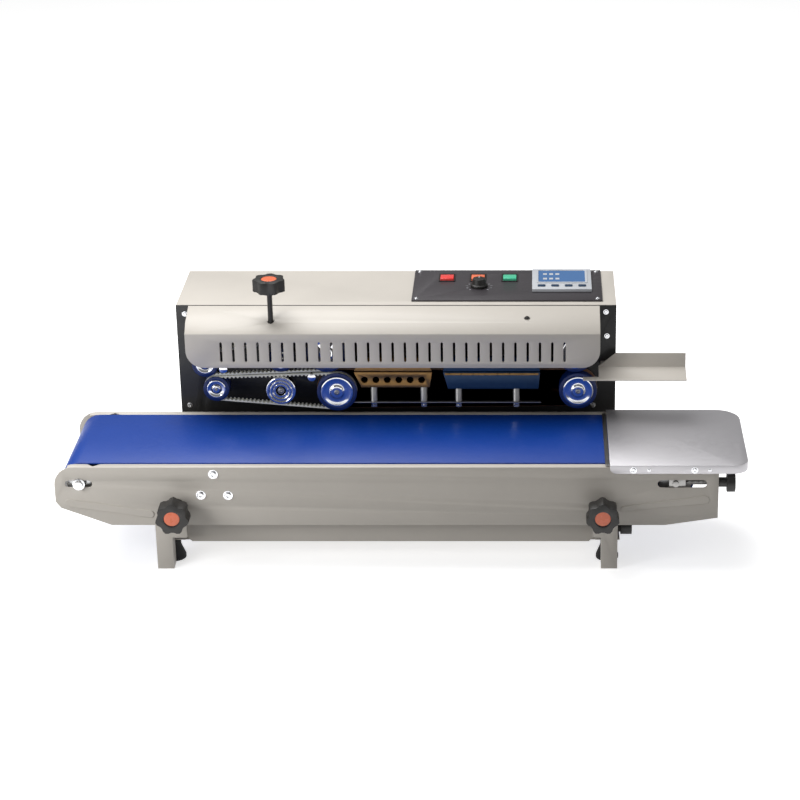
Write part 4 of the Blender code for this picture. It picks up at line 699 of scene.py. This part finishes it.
@dataclass
class Solids:
    """Every solid of the frame, with its finish and its softened edges."""

    shop: Workshop
    edge: float = 0.35 * MM
    weld: float = 0.01 * MM
    sharp_angle: float = math.radians(34)
    plain_angle: float = math.radians(0.4)
    own_finish: dict[str, str] = field(default_factory=lambda: {"control_panel": "panel_grey"})

    def _smoother(self) -> bpy.types.NodeTree:
        """A modifier group that shades smooth and keeps only sharp edges.

        Returns:
            The geometry group.
        """
        tree = bpy.data.node_groups.new("shade_by_angle", "GeometryNodeTree")
        tree.interface.new_socket("Geometry", in_out="INPUT", socket_type="NodeSocketGeometry")
        tree.interface.new_socket("Geometry", in_out="OUTPUT", socket_type="NodeSocketGeometry")
        start, end = tree.nodes.new("NodeGroupInput"), tree.nodes.new("NodeGroupOutput")
        strip = tree.nodes.new("GeometryNodeRemoveAttribute")
        strip.inputs["Name"].default_value = "custom_normal"
        faces, edges = (tree.nodes.new("GeometryNodeSetShadeSmooth") for _ in range(2))
        faces.domain, edges.domain = "FACE", "EDGE"
        angle = tree.nodes.new("GeometryNodeInputMeshEdgeAngle")
        compare = tree.nodes.new("FunctionNodeCompare")
        compare.data_type, compare.operation = "FLOAT", "LESS_EQUAL"
        compare.inputs[1].default_value = self.sharp_angle
        for source, sink in ((start.outputs[0], strip.inputs["Geometry"]),
                             (strip.outputs[0], faces.inputs["Geometry"]),
                             (faces.outputs[0], edges.inputs["Geometry"]), (edges.outputs[0], end.inputs[0]),
                             (angle.outputs["Unsigned Angle"], compare.inputs[0]),
                             (compare.outputs[0], edges.inputs["Shade Smooth"])):
            tree.links.new(source, sink)
        return tree

    def dress(self) -> None:
        """Gives each solid its finish, welds its facets and rounds its edges."""
        smoother = self._smoother()
        for row in self.shop.frame["record"]["subparts"]:
            solid = self.shop.frame["nodes"][row["node"]]
            solid.data.materials.clear()
            finish = self.own_finish.get(row["node"], row["material_slot"])
            solid.data.materials.append(self.shop.materials[finish])
            weld = solid.modifiers.new("weld", "WELD")
            weld.merge_threshold = self.weld
            join = solid.modifiers.new("join_flat_faces", "DECIMATE")
            join.decimate_type, join.angle_limit = "DISSOLVE", self.plain_angle
            bevel = solid.modifiers.new("edges", "BEVEL")
            bevel.width, bevel.segments, bevel.limit_method = self.edge, 2, "ANGLE"
            bevel.angle_limit, bevel.use_clamp_overlap = self.sharp_angle, True
            shade = solid.modifiers.new("shade", "NODES")
            shade.node_group = smoother
        LOG.info("solids: %d dressed", len(self.shop.frame["nodes"]))


# ---------------------------------------------------------------- the conveyor


@dataclass
class ConveyorFittings:
    """Screws, pins, ribs, a thread and an edge strip on the conveyor."""

    shop: Workshop
    screw_radius: float = 4.1 * MM
    screw_height: float = 3.2 * MM
    screws: tuple[Flat, ...] = ((192.9 * MM, 127.9 * MM), (176.7 * MM, 100.4 * MM), (209.7 * MM, 100.0 * MM))
    rib_height: float = 1.1 * MM
    left_rib: tuple[Flat, Flat] = ((16 * MM, 90 * MM), (114 * MM, 75 * MM))
    right_rib: tuple[Flat, Flat] = ((689 * MM, 82 * MM), (788 * MM, 94 * MM))
    rib_ends: tuple[Flat, Flat] = ((5 * MM, 5 * MM), (3 * MM, 5.5 * MM))
    thread_radius: float = 2.6 * MM
    plate_screws: tuple[float, ...] = (280.5 * MM, 354.4 * MM)
    plate_pins: tuple[float, ...] = (299.2 * MM, 372.8 * MM)
    plate_screw_size: Flat = (3.0 * MM, 1.8 * MM)
    plate_pin_size: Flat = (1.6 * MM, 1.2 * MM)
    plate_screw_rise: float = 4.8 * MM
    rib_seat: float = 0.4 * MM
    rib_edge: float = 0.9 * MM
    rib_steps: int = 8
    thread_gap: float = 1 * MM
    thread_clear: float = 0.3 * MM
    thread_wire: float = 0.32 * MM
    thread_pitch: float = 1.5 * MM
    knob_reach: float = 18 * MM
    strip_low: Flat = (-5.6 * MM, 2.6 * MM)
    strip_high: Flat = (-0.6 * MM, -12 * MM)
    strip_corner: float = 1 * MM
    strip_thickness: float = 0.9 * MM

    def _rib(self, name: str, ends: tuple[Flat, Flat], widths: Flat) -> None:
        """A low pressed rib between two points of the front panel, with round ends.

        Args:
            name: the piece's name.
            ends: its ends, from the panel's left end and the floor.
            widths: half its width at each end.
        """
        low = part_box("front_panel")[0]
        (x0, z0), (x1, z1) = ends
        heading = math.atan2(z1 - z0, x1 - x0)
        outline = []
        for (x, z), width, start in (((x0, z0), widths[0], heading + math.pi / 2),
                                     ((x1, z1), widths[1], heading - math.pi / 2)):
            turns = [start + math.pi * i / self.rib_steps for i in range(self.rib_steps + 1)]
            outline += [(low.x + x + width * math.cos(turn), z + width * math.sin(turn)) for turn in turns]
        self.shop.cut(name, "beige_paint", "conveyor", outline, Axis.Y, low.y - self.rib_height,
                      low.y + self.rib_seat, self.rib_edge)

    def build(self) -> None:
        """Builds the conveyor's fittings."""
        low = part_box("front_panel")[0]
        for number, (x, z) in enumerate(self.screws):
            self.shop.socket_screw(f"panel_screw_{number}", "conveyor", Vector((low.x + x, low.y, z)), Axis.Y,
                                   self.screw_radius, self.screw_height)
        self._rib("left_rib", self.left_rib, self.rib_ends[0])
        self._rib("right_rib", self.right_rib, self.rib_ends[1])
        knob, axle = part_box("tension_knob"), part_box("tail_axle")
        height = (knob[0].z + knob[1].z) / 2
        middle = (knob[0].y + knob[1].y) / 2
        start = axle[1].x + self.thread_gap
        length = knob[1].x - self.knob_reach - start
        self.shop.wound("tension_thread", "steel", "tension_knob", Vector((start, middle, height)),
                        self.thread_radius + self.thread_clear, self.thread_wire, length,
                        length / self.thread_pitch, Axis.X)
        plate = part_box("end_plate")
        flange = plate[0].y
        for kind, places, size in (("screw", self.plate_screws, self.plate_screw_size),
                                   ("pin", self.plate_pins, self.plate_pin_size)):
            for number, x in enumerate(places):
                self.shop.socket_screw(f"plate_{kind}_{number}", "conveyor",
                                       Vector((x, flange, plate[0].z + self.plate_screw_rise)), Axis.Y, *size)
        self.shop.cut("plate_edge_strip", "steel", "conveyor",
                      slab((plate[0].x + self.strip_low[0], plate[0].y + self.strip_low[1]),
                           (plate[0].x + self.strip_high[0], plate[1].y + self.strip_high[1]),
                           self.strip_corner),
                      Axis.Z, plate[1].z - self.strip_thickness, plate[1].z)
        LOG.info("conveyor: screws, ribs, thread and plate fittings")


@dataclass
class Clamps:
    """Orange caps on the knobs, and the sleeve on the pressure knob's rod."""

    shop: Workshop
    cap_radius: float = 9.6 * MM
    cap_height: float = 2.0 * MM
    sink: float = 0.5 * MM
    rod_radius: float = 3.35 * MM
    knob_depth: float = 19.5 * MM
    cap_seat: float = 0.9 * MM
    cap_sides: int = 36
    dome: tuple[Flat, ...] = ((-0.1, 1.0), (0.12, 0.94), (0.2, 0.7), (0.24, 0.35), (0.25, 0.0))
    sleeve_seat: float = 0.2 * MM
    sleeve_sides: int = 28

    def cap(self, name: str, body: str, centre: Vector, axis: Axis, facing: int, radius: float) -> None:
        """A domed cap with a rim.

        Args:
            name: the piece's name.
            body: the body it rides.
            centre: the middle of the face it closes.
            axis: the axis it points along.
            facing: 1 or -1, the way it stands.
            radius: its radius.
        """
        profile = [(-self.cap_seat, 0.0), (-self.cap_seat, radius)]
        profile += [(self.cap_height * up, radius * out) for up, out in self.dome]
        self.shop.turned(name, "orange_plastic", body, [(facing * a, r) for a, r in profile], axis, centre,
                         self.cap_sides)

    def build(self) -> None:
        """Builds the caps of the three star knobs."""
        for side in ("left", "right"):
            low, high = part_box(f"{side}_clamp_knob")
            centre = Vector(((low.x + high.x) / 2, low.y + self.sink, (low.z + high.z) / 2))
            self.cap(f"{side}_cap", f"{side}_clamp_knob", centre, Axis.Y, -1, self.cap_radius)
        low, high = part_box("pressure_knob")
        centre = Vector(((low.x + high.x) / 2, (low.y + high.y) / 2, high.z - self.sink))
        self.cap("pressure_cap", "pressure_knob", centre, Axis.Z, 1, self.cap_radius)
        rod = centre.copy()
        rod.z = low.z + self.sleeve_seat
        length = high.z - self.knob_depth - rod.z
        profile = ((0.0, 0.0), (0.0, self.rod_radius), (length, self.rod_radius), (length, 0.0))
        self.shop.turned("pressure_rod_sleeve", "chrome", "pressure_knob", profile, Axis.Z, rod,
                         self.sleeve_sides)
        LOG.info("clamps: three caps and the pressure rod's sleeve")


# ---------------------------------------------------------------- the sealing head


class Face(Enum):
    """The front face of a wheel."""

    DISHED = "a dished ring round a hub"
    RINGED = "narrow rings"


@dataclass(frozen=True)
class WheelFace:
    """Where a wheel's front is and how it is finished."""

    node: str
    body: str
    face: Face
    share: float = 0.8


@dataclass
class HeadFittings:
    """Wheel faces, idlers, nuts and screws of the sealing head."""

    shop: Workshop
    wheels: tuple[WheelFace, ...] = (
        WheelFace("lower_drive_wheel", "lower_drive", Face.DISHED),
                                     WheelFace("upper_drive_wheel", "upper_drive", Face.DISHED),
        WheelFace("lower_tail_wheel", "lower_tail", Face.DISHED),
                                     WheelFace("upper_tail_wheel", "upper_tail", Face.DISHED),
        WheelFace("lower_guide_wheel", "lower_guide", Face.DISHED, 0.72),
        WheelFace("upper_guide_wheel", "upper_guide", Face.DISHED, 0.72),
        WheelFace("press_wheel", "press_wheel", Face.DISHED, 0.72),
                                     WheelFace("emboss_wheel", "emboss", Face.RINGED, 0.94))
    dish: tuple[Flat, ...] = ((0.4, 1.0), (-0.5, 1.0), (-0.8, 0.94), (-0.8, 0.86), (0.1, 0.74), (0.3, 0.5),
                              (-0.6, 0.42),
                              (-1.6, 0.38), (-1.8, 0.32))
    face_seat: float = 0.4 * MM
    face_sides: int = 48
    face_edge: float = 0.12 * MM
    dish_depth: float = 1.2 * MM
    centre_share: float = 0.12
    centre_depth: float = 0.2 * MM
    groove_share: float = 0.99
    hub_share: float = 0.17
    hub_height: float = 1.6 * MM
    rings: int = 3
    ring_relief: float = 1.6 * MM
    idlers: tuple[Flat, ...] = ((-229.9 * MM, 202.8 * MM), (-119.2 * MM, 191.9 * MM))
    idler_radius: float = 5.2 * MM
    idler_front: float = 1.0 * MM
    idler_sides: int = 28
    idler_shape: tuple[Flat, ...] = ((0.0, 0.0), (0.0, 0.5), (0.6 * MM, 1.0), (5.0 * MM, 1.0),
                                     (5.6 * MM, 0.5),
                                     (34 * MM, 0.5), (34 * MM, 0.0))
    posts: tuple[float, ...] = (-42 * MM, 21 * MM, 65 * MM, 138 * MM)
    post_depth: float = 10 * MM
    nut_radius: float = 4.2 * MM
    nut_height: float = 3.1 * MM
    nut_drops: tuple[float, ...] = (3.4 * MM, 7.0 * MM)
    strip_screws: int = 8
    strip_screw_size: Flat = (0.9 * MM, 0.6 * MM)
    strip_screw_drop: float = 2.0 * MM
    strip_inset: float = 2 * MM
    strip_drops: Flat = (3.4 * MM, 0.6 * MM)
    strip_corner: float = 0.5 * MM
    strip_front: float = 1.0 * MM
    strip_seat: float = 0.3 * MM
    guide_track: float = 14.5 * MM
    drive_track: float = 23.4 * MM
    tooth_pitch: float = 5 * MM
    tooth_height: float = 1.5 * MM
    tooth_foot: float = 0.3
    tooth_tip: float = 0.2
    tooth_seat: float = 0.1 * MM
    cover_screw_size: Flat = (2.6 * MM, 1.8 * MM)
    plate_screw_size: Flat = (2.4 * MM, 1.6 * MM)
    plate_screw_sink: float = 2.0 * MM
    cover_screw: Point = (151.7 * MM, 11.7 * MM, 268.0 * MM)
    plate_screws: tuple[Flat, ...] = ((-279.4 * MM, 264.3 * MM), (-279.7 * MM, 140.2 * MM),
                                      (251 * MM, 267 * MM),
                                      (252.6 * MM, 234.7 * MM), (235.8 * MM, 140.2 * MM))

    def _front(self, wheel: WheelFace) -> None:
        """Builds one wheel's front face and its screw.

        Args:
            wheel: the wheel.
        """
        low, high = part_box(wheel.node)
        centre = Vector(((low.x + high.x) / 2, low.y, (low.z + high.z) / 2))
        radius = (high.x - low.x) / 2 * wheel.share
        if wheel.face is Face.DISHED:
            profile = [(self.face_seat, 0.0)] + [(along * MM, radius * share) for along, share in self.dish]
            profile.append((self.dish[-1][0] * MM, 0.0))
        else:
            profile = [(self.face_seat, 0.0), (self.face_seat, radius)]
            for step in range(self.rings):
                outer, inner = (radius * (1 - (step + part) / (self.rings + 1)) for part in (0.0, 0.5))
                profile += [(-self.ring_relief, outer), (-self.ring_relief, inner),
                            (0.0, inner * self.groove_share)]
            profile += [(0.0, radius * self.centre_share), (-self.centre_depth, 0.0)]
        self.shop.turned(f"{wheel.node}_face", "chrome", wheel.body, profile, Axis.Y, centre,
                         self.face_sides, self.face_edge)
        hub = centre + Vector((0, -self.dish_depth if wheel.face is Face.DISHED else self.centre_depth, 0))
        self.shop.socket_screw(f"{wheel.node}_screw", wheel.body, hub, Axis.Y, radius * self.hub_share,
                               self.hub_height, slot="steel")

    def _teeth(self, side: str) -> None:
        """Teeth on the inner face of one toothed belt, along both its straight runs.

        Args:
            side: lower or upper.
        """
        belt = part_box(f"toothed_belt_{side}")
        ends = []
        for wheel, radius in (("guide", self.guide_track), ("drive", self.drive_track)):
            low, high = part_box(f"{side}_{wheel}_wheel")
            ends.append((Vector(((low.x + high.x) / 2, (low.z + high.z) / 2)), radius))
        (first, small), (second, large) = ends
        along = second - first
        spread = math.acos((small - large) / along.length)
        for run, way in (("top", 1), ("bottom", -1)):
            angle = math.atan2(along.y, along.x) + way * spread
            out = Vector((math.cos(angle), math.sin(angle)))
            start, stop = first + out * small, second + out * large
            count = int((stop - start).length / self.tooth_pitch)
            step = (stop - start) / count
            for number in range(count):
                foot = start + step * (number + 0.5)
                lean = step.normalized()
                wide, narrow = self.tooth_pitch * self.tooth_foot, self.tooth_pitch * self.tooth_tip
                seat, tip = foot + out * self.tooth_seat, foot - out * self.tooth_height
                points = [seat - lean * wide, seat + lean * wide, tip + lean * narrow, tip - lean * narrow]
                self.shop.cut(f"{side}_{run}_tooth_{number}", "belt_white", "machine",
                              [(q.x, q.y) for q in points],
                              Axis.Y, belt[0].y, belt[1].y, 0.0)

    def build(self) -> None:
        """Builds the head's fittings."""
        for wheel in self.wheels:
            self._front(wheel)
        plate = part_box("front_plate")
        for number, (x, z) in enumerate(self.idlers):
            profile = [(along, self.idler_radius * share) for along, share in self.idler_shape]
            self.shop.turned(f"idler_{number}", "chrome", "machine", profile, Axis.Y,
                             Vector((x, self.idler_front, z)), self.idler_sides)
        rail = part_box("support_rail")
        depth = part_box("lower_heating_block")
        for number, x in enumerate(self.posts):
            for level, drop in enumerate(self.nut_drops):
                base = rail[0].z - drop
                self.shop.cut(f"post_nut_{number}_{level}", "chrome", "machine",
                              ring(6, self.nut_radius, (x, depth[0].y + self.post_depth), math.pi / 6),
                              Axis.Z, base,
                              base + self.nut_height)
        low, high = depth
        self.shop.cut("heater_strip", "brass", "machine",
                      slab((low.x + self.strip_inset, high.z - self.strip_drops[0]),
                           (high.x - self.strip_inset, high.z - self.strip_drops[1]), self.strip_corner),
                      Axis.Y, low.y - self.strip_front, low.y + self.strip_seat)
        for number in range(self.strip_screws):
            x = low.x + (high.x - low.x) * (number + 0.5) / self.strip_screws
            self.shop.socket_screw(f"strip_screw_{number}", "machine",
                                   Vector((x, low.y - self.strip_front, high.z - self.strip_screw_drop)),
                                   Axis.Y,
                                   *self.strip_screw_size, slot="brass")
        for number, (x, z) in enumerate(self.plate_screws):
            self.shop.socket_screw(f"front_screw_{number}", "machine",
                                   Vector((x, plate[1].y - self.plate_screw_sink, z)), Axis.Y,
                                   *self.plate_screw_size)
        for side in ("lower", "upper"):
            self._teeth(side)
        self.shop.socket_screw("cover_screw", "machine", Vector(self.cover_screw), Axis.Z,
                               *self.cover_screw_size, 1, "black_plastic")
        LOG.info("head: %d wheel faces, idlers, belt teeth, nuts and screws", len(self.wheels))


# ---------------------------------------------------------------- the controls


@dataclass
class Controls:
    """Bezels, display, keys, dial ticks and screws on the control panel."""

    shop: Workshop
    rim: float = 1.8 * MM
    rim_height: float = 1.0 * MM
    rim_gap: float = 0.6 * MM
    rim_corners: Flat = (0.8 * MM, 1.6 * MM)
    rim_seat: float = 0.1 * MM
    ticks: int = 11
    tick_sweep: float = math.radians(270)
    tick_radius: float = 14.5 * MM
    tick_length: float = 2.6 * MM
    tick_half: float = 0.3 * MM
    tick_heights: Flat = (-0.05 * MM, 0.15 * MM)
    pointer_half: float = 0.5 * MM
    pointer_ends: Flat = (2 * MM, 8 * MM)
    pointer_corner: float = 0.3 * MM
    seat: float = 0.2 * MM
    pointer_rise: float = 0.15 * MM
    screen_inset: float = 8 * MM
    screen_bottom: float = 25 * MM
    screen_corner: float = 1.2 * MM
    screen_rise: float = 0.4 * MM
    bezel: float = 3 * MM
    bezel_corner: float = 2.5 * MM
    bezel_rise: float = 1.0 * MM
    reading_rows: tuple[float, ...] = (0.3, 0.7)
    reading_bars: int = 3
    bar_start: float = 6 * MM
    bar_pitch: float = 8 * MM
    bar_width: float = 5 * MM
    bar_half: float = 3.2 * MM
    bar_corner: float = 0.6 * MM
    bar_heights: Flat = (0.35 * MM, 0.5 * MM)
    keys: int = 4
    key_inset: float = 4 * MM
    key_half: float = 5 * MM
    key_ends: Flat = (9 * MM, 15 * MM)
    key_corner: float = 1.5 * MM
    key_rise: float = 1.2 * MM
    key_edge: float = 0.4 * MM
    screw_size: Flat = (2.2 * MM, 1.4 * MM)
    screw_inset: float = 6 * MM

    def _switch_rims(self, top: float) -> None:
        """A rim round each rocker.

        Args:
            top: the height of the panel's face.
        """
        for name in ("power_switch", "sealing_switch", "fan_switch"):
            low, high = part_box(name)
            gap = self.rim_gap
            inner = slab((low.x - gap, low.y - gap), (high.x + gap, high.y + gap), self.rim_corners[0])
            outer = slab((low.x - gap - self.rim, low.y - gap - self.rim),
                         (high.x + gap + self.rim, high.y + gap + self.rim), self.rim_corners[1])
            self.shop.ringed(f"{name}_rim", "black_plastic", "machine", outer, inner, Axis.Z,
                             top - self.rim_seat, top + self.rim_height)

    def _dial(self, top: float) -> None:
        """Ticks round the speed knob, and the knob's pointer.

        Args:
            top: the height of the panel's face.
        """
        low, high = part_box("speed_knob")
        middle = Vector(((low.x + high.x) / 2, (low.y + high.y) / 2))
        for number in range(self.ticks):
            turned = self.tick_sweep * number / (self.ticks - 1)
            angle = math.radians(-90) - (math.tau - self.tick_sweep) / 2 - turned
            way, side = Vector((math.cos(angle), math.sin(angle))), Vector((-math.sin(angle),
                                                                            math.cos(angle)))
            near, far, half = self.tick_radius, self.tick_radius + self.tick_length, self.tick_half
            outline = [middle + way * near - side * half, middle + way * far - side * half,
                       middle + way * far + side * half, middle + way * near + side * half]
            self.shop.cut(f"dial_tick_{number}", "silver_plastic", "machine", [(p.x, p.y) for p in outline],
                          Axis.Z,
                          top + self.tick_heights[0], top + self.tick_heights[1], 0.0)
        self.shop.cut("dial_pointer", "silver_plastic", "speed_knob",
                      slab((middle.x - self.pointer_half, middle.y + self.pointer_ends[0]),
                           (middle.x + self.pointer_half, middle.y + self.pointer_ends[1]),
                           self.pointer_corner),
                      Axis.Z, high.z - self.seat, high.z + self.pointer_rise, 0.0)

    def _display(self) -> None:
        """The temperature controller's screen, its readings as plain bars, and its keys."""
        low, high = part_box("temperature_controller")
        left, right = low.x + self.screen_inset, high.x - self.screen_inset
        near, far = low.y + self.screen_bottom, high.y - self.screen_inset
        bottom, edge = high.z - self.seat, self.bezel
        screen = slab((left, near), (right, far), self.screen_corner)
        self.shop.ringed("screen_rim", "silver_plastic", "machine",
                         slab((left - edge, near - edge), (right + edge, far + edge), self.bezel_corner),
                         screen,
                         Axis.Z, bottom, high.z + self.bezel_rise)
        self.shop.cut("screen", "screen_blue", "machine", screen, Axis.Z, bottom, high.z + self.screen_rise,
                      0.0)
        for number, row in enumerate(self.reading_rows):
            y = near + (far - near) * row
            for bar in range(self.reading_bars):
                x = left + self.bar_start + bar * self.bar_pitch
                self.shop.cut(f"reading_{number}_{bar}", "silver_plastic", "machine",
                              slab((x, y - self.bar_half), (x + self.bar_width, y + self.bar_half),
                                   self.bar_corner),
                              Axis.Z, high.z + self.bar_heights[0], high.z + self.bar_heights[1], 0.0)
        for number in range(self.keys):
            x = left + self.key_inset + (right - left - 2 * self.key_inset) * number / (self.keys - 1)
            self.shop.cut(f"key_{number}", "blued_steel", "machine",
                          slab((x - self.key_half, low.y + self.key_ends[0]),
                               (x + self.key_half, low.y + self.key_ends[1]), self.key_corner),
                          Axis.Z, bottom, high.z + self.key_rise, self.key_edge)

    def build(self) -> None:
        """Builds the control panel's fittings."""
        low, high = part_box("control_panel")
        self._switch_rims(high.z)
        self._dial(high.z)
        self._display()
        for number, (x, y) in enumerate(((low.x, low.y), (high.x, low.y), (low.x, high.y), (high.x, high.y))):
            inward = Vector((math.copysign(self.screw_inset, (low.x + high.x) / 2 - x),
                             math.copysign(self.screw_inset, (low.y + high.y) / 2 - y), 0))
            self.shop.socket_screw(f"panel_corner_{number}", "machine", Vector((x, y, high.z)) + inward,
                                   Axis.Z,
                                   *self.screw_size, 1)
        LOG.info("controls: rims, dial, display, keys and screws")


# ---------------------------------------------------------------- light and camera


@dataclass
class Studio:
    """Floor, light and camera."""

    eye: Point = (0.1626, -2.7392, 1.2971)
    tilt: float = math.radians(67.491)
    lens: float = 105.77
    shift: float = -0.1697
    floor_size: float = 60.0
    surround: float = 0.24
    floor_glow: float = 0.62
    floor_white: tuple[float, float, float, float] = (0.93, 0.93, 0.93, 1.0)
    aim: Point = (0.0, 0.0, 0.15)
    reach: float = 100.0
    lamps: tuple[tuple[str, Point, float, float], ...] = (
        ("top_lamp", (-0.5, 0.5, 2.2), 1.8, 54), ("front_lamp", (-0.85, -0.75, 0.5), 0.5, 5),
        ("right_lamp", (2.0, -0.6, 1.2), 1.0, 3))

    def _lamp(self, name: str, place: Point, size: float, watts: float) -> None:
        """A soft square lamp aimed at the machine.

        Args:
            name: its name.
            place: where it hangs.
            size: its side.
            watts: its power.
        """
        data = bpy.data.lights.new(name, "AREA")
        data.size, data.energy = size, watts
        lamp = bpy.data.objects.new(name, data)
        lamp.location = place
        lamp.rotation_euler = (Vector(self.aim) - Vector(place)).to_track_quat("-Z", "Y").to_euler()
        bpy.context.scene.collection.objects.link(lamp)

    def build(self) -> None:
        """Builds the floor, the lamps, the surround and the camera."""
        half = self.floor_size / 2
        data = bpy.data.meshes.new("floor")
        data.from_pydata([(-half, -half, 0), (half, -half, 0), (half, half, 0), (-half, half, 0)], [],
                         [(0, 1, 2, 3)])
        floor = bpy.data.objects.new("floor", data)
        bpy.context.scene.collection.objects.link(floor)
        shader = Shader("floor")
        shader.surface.inputs["Base Color"].default_value = self.floor_white
        shader.surface.inputs["Emission Color"].default_value = (1.0, 1.0, 1.0, 1.0)
        shader.surface.inputs["Emission Strength"].default_value = self.floor_glow
        shader.put(shader.surface.inputs["Roughness"], shader.noise(0.2) * 0.1 + 0.7)
        data.materials.append(shader.material)
        floor.visible_diffuse = False   # the floor shows and reflects, and casts no light upward
        for lamp in self.lamps:
            self._lamp(*lamp)
        world = bpy.data.worlds.new("surround")
        world.use_nodes = True
        world.node_tree.nodes["Background"].inputs["Color"].default_value = (1.0, 1.0, 1.0, 1.0)
        world.node_tree.nodes["Background"].inputs["Strength"].default_value = self.surround
        bpy.context.scene.world = world
        bpy.context.scene.view_settings.view_transform = "Standard"
        data = bpy.data.cameras.new("camera")
        data.lens, data.shift_x, data.clip_end = self.lens, self.shift, self.reach
        camera = bpy.data.objects.new("camera", data)
        camera.location, camera.rotation_euler = self.eye, (self.tilt, 0, 0)
        bpy.context.scene.collection.objects.link(camera)
        bpy.context.scene.camera = camera
        LOG.info("studio: floor, lamps and camera")


def corners(pair: Sequence[Sequence[float]]) -> list[list[float]]:
    """The two corners of a box as plain lists."""
    return [[float(v) for v in corner] for corner in pair]


def main() -> None:
    """Dresses the machine and builds everything round it, in order."""
    logging.basicConfig(level=logging.INFO, format="%(name)s: %(message)s")
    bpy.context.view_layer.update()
    shop = Workshop(frame)
    Solids(shop).dress()
    ConveyorFittings(shop).build()
    Clamps(shop).build()
    HeadFittings(shop).build()
    Controls(shop).build()
    Studio().build()


if __name__ == "__main__":
    main()
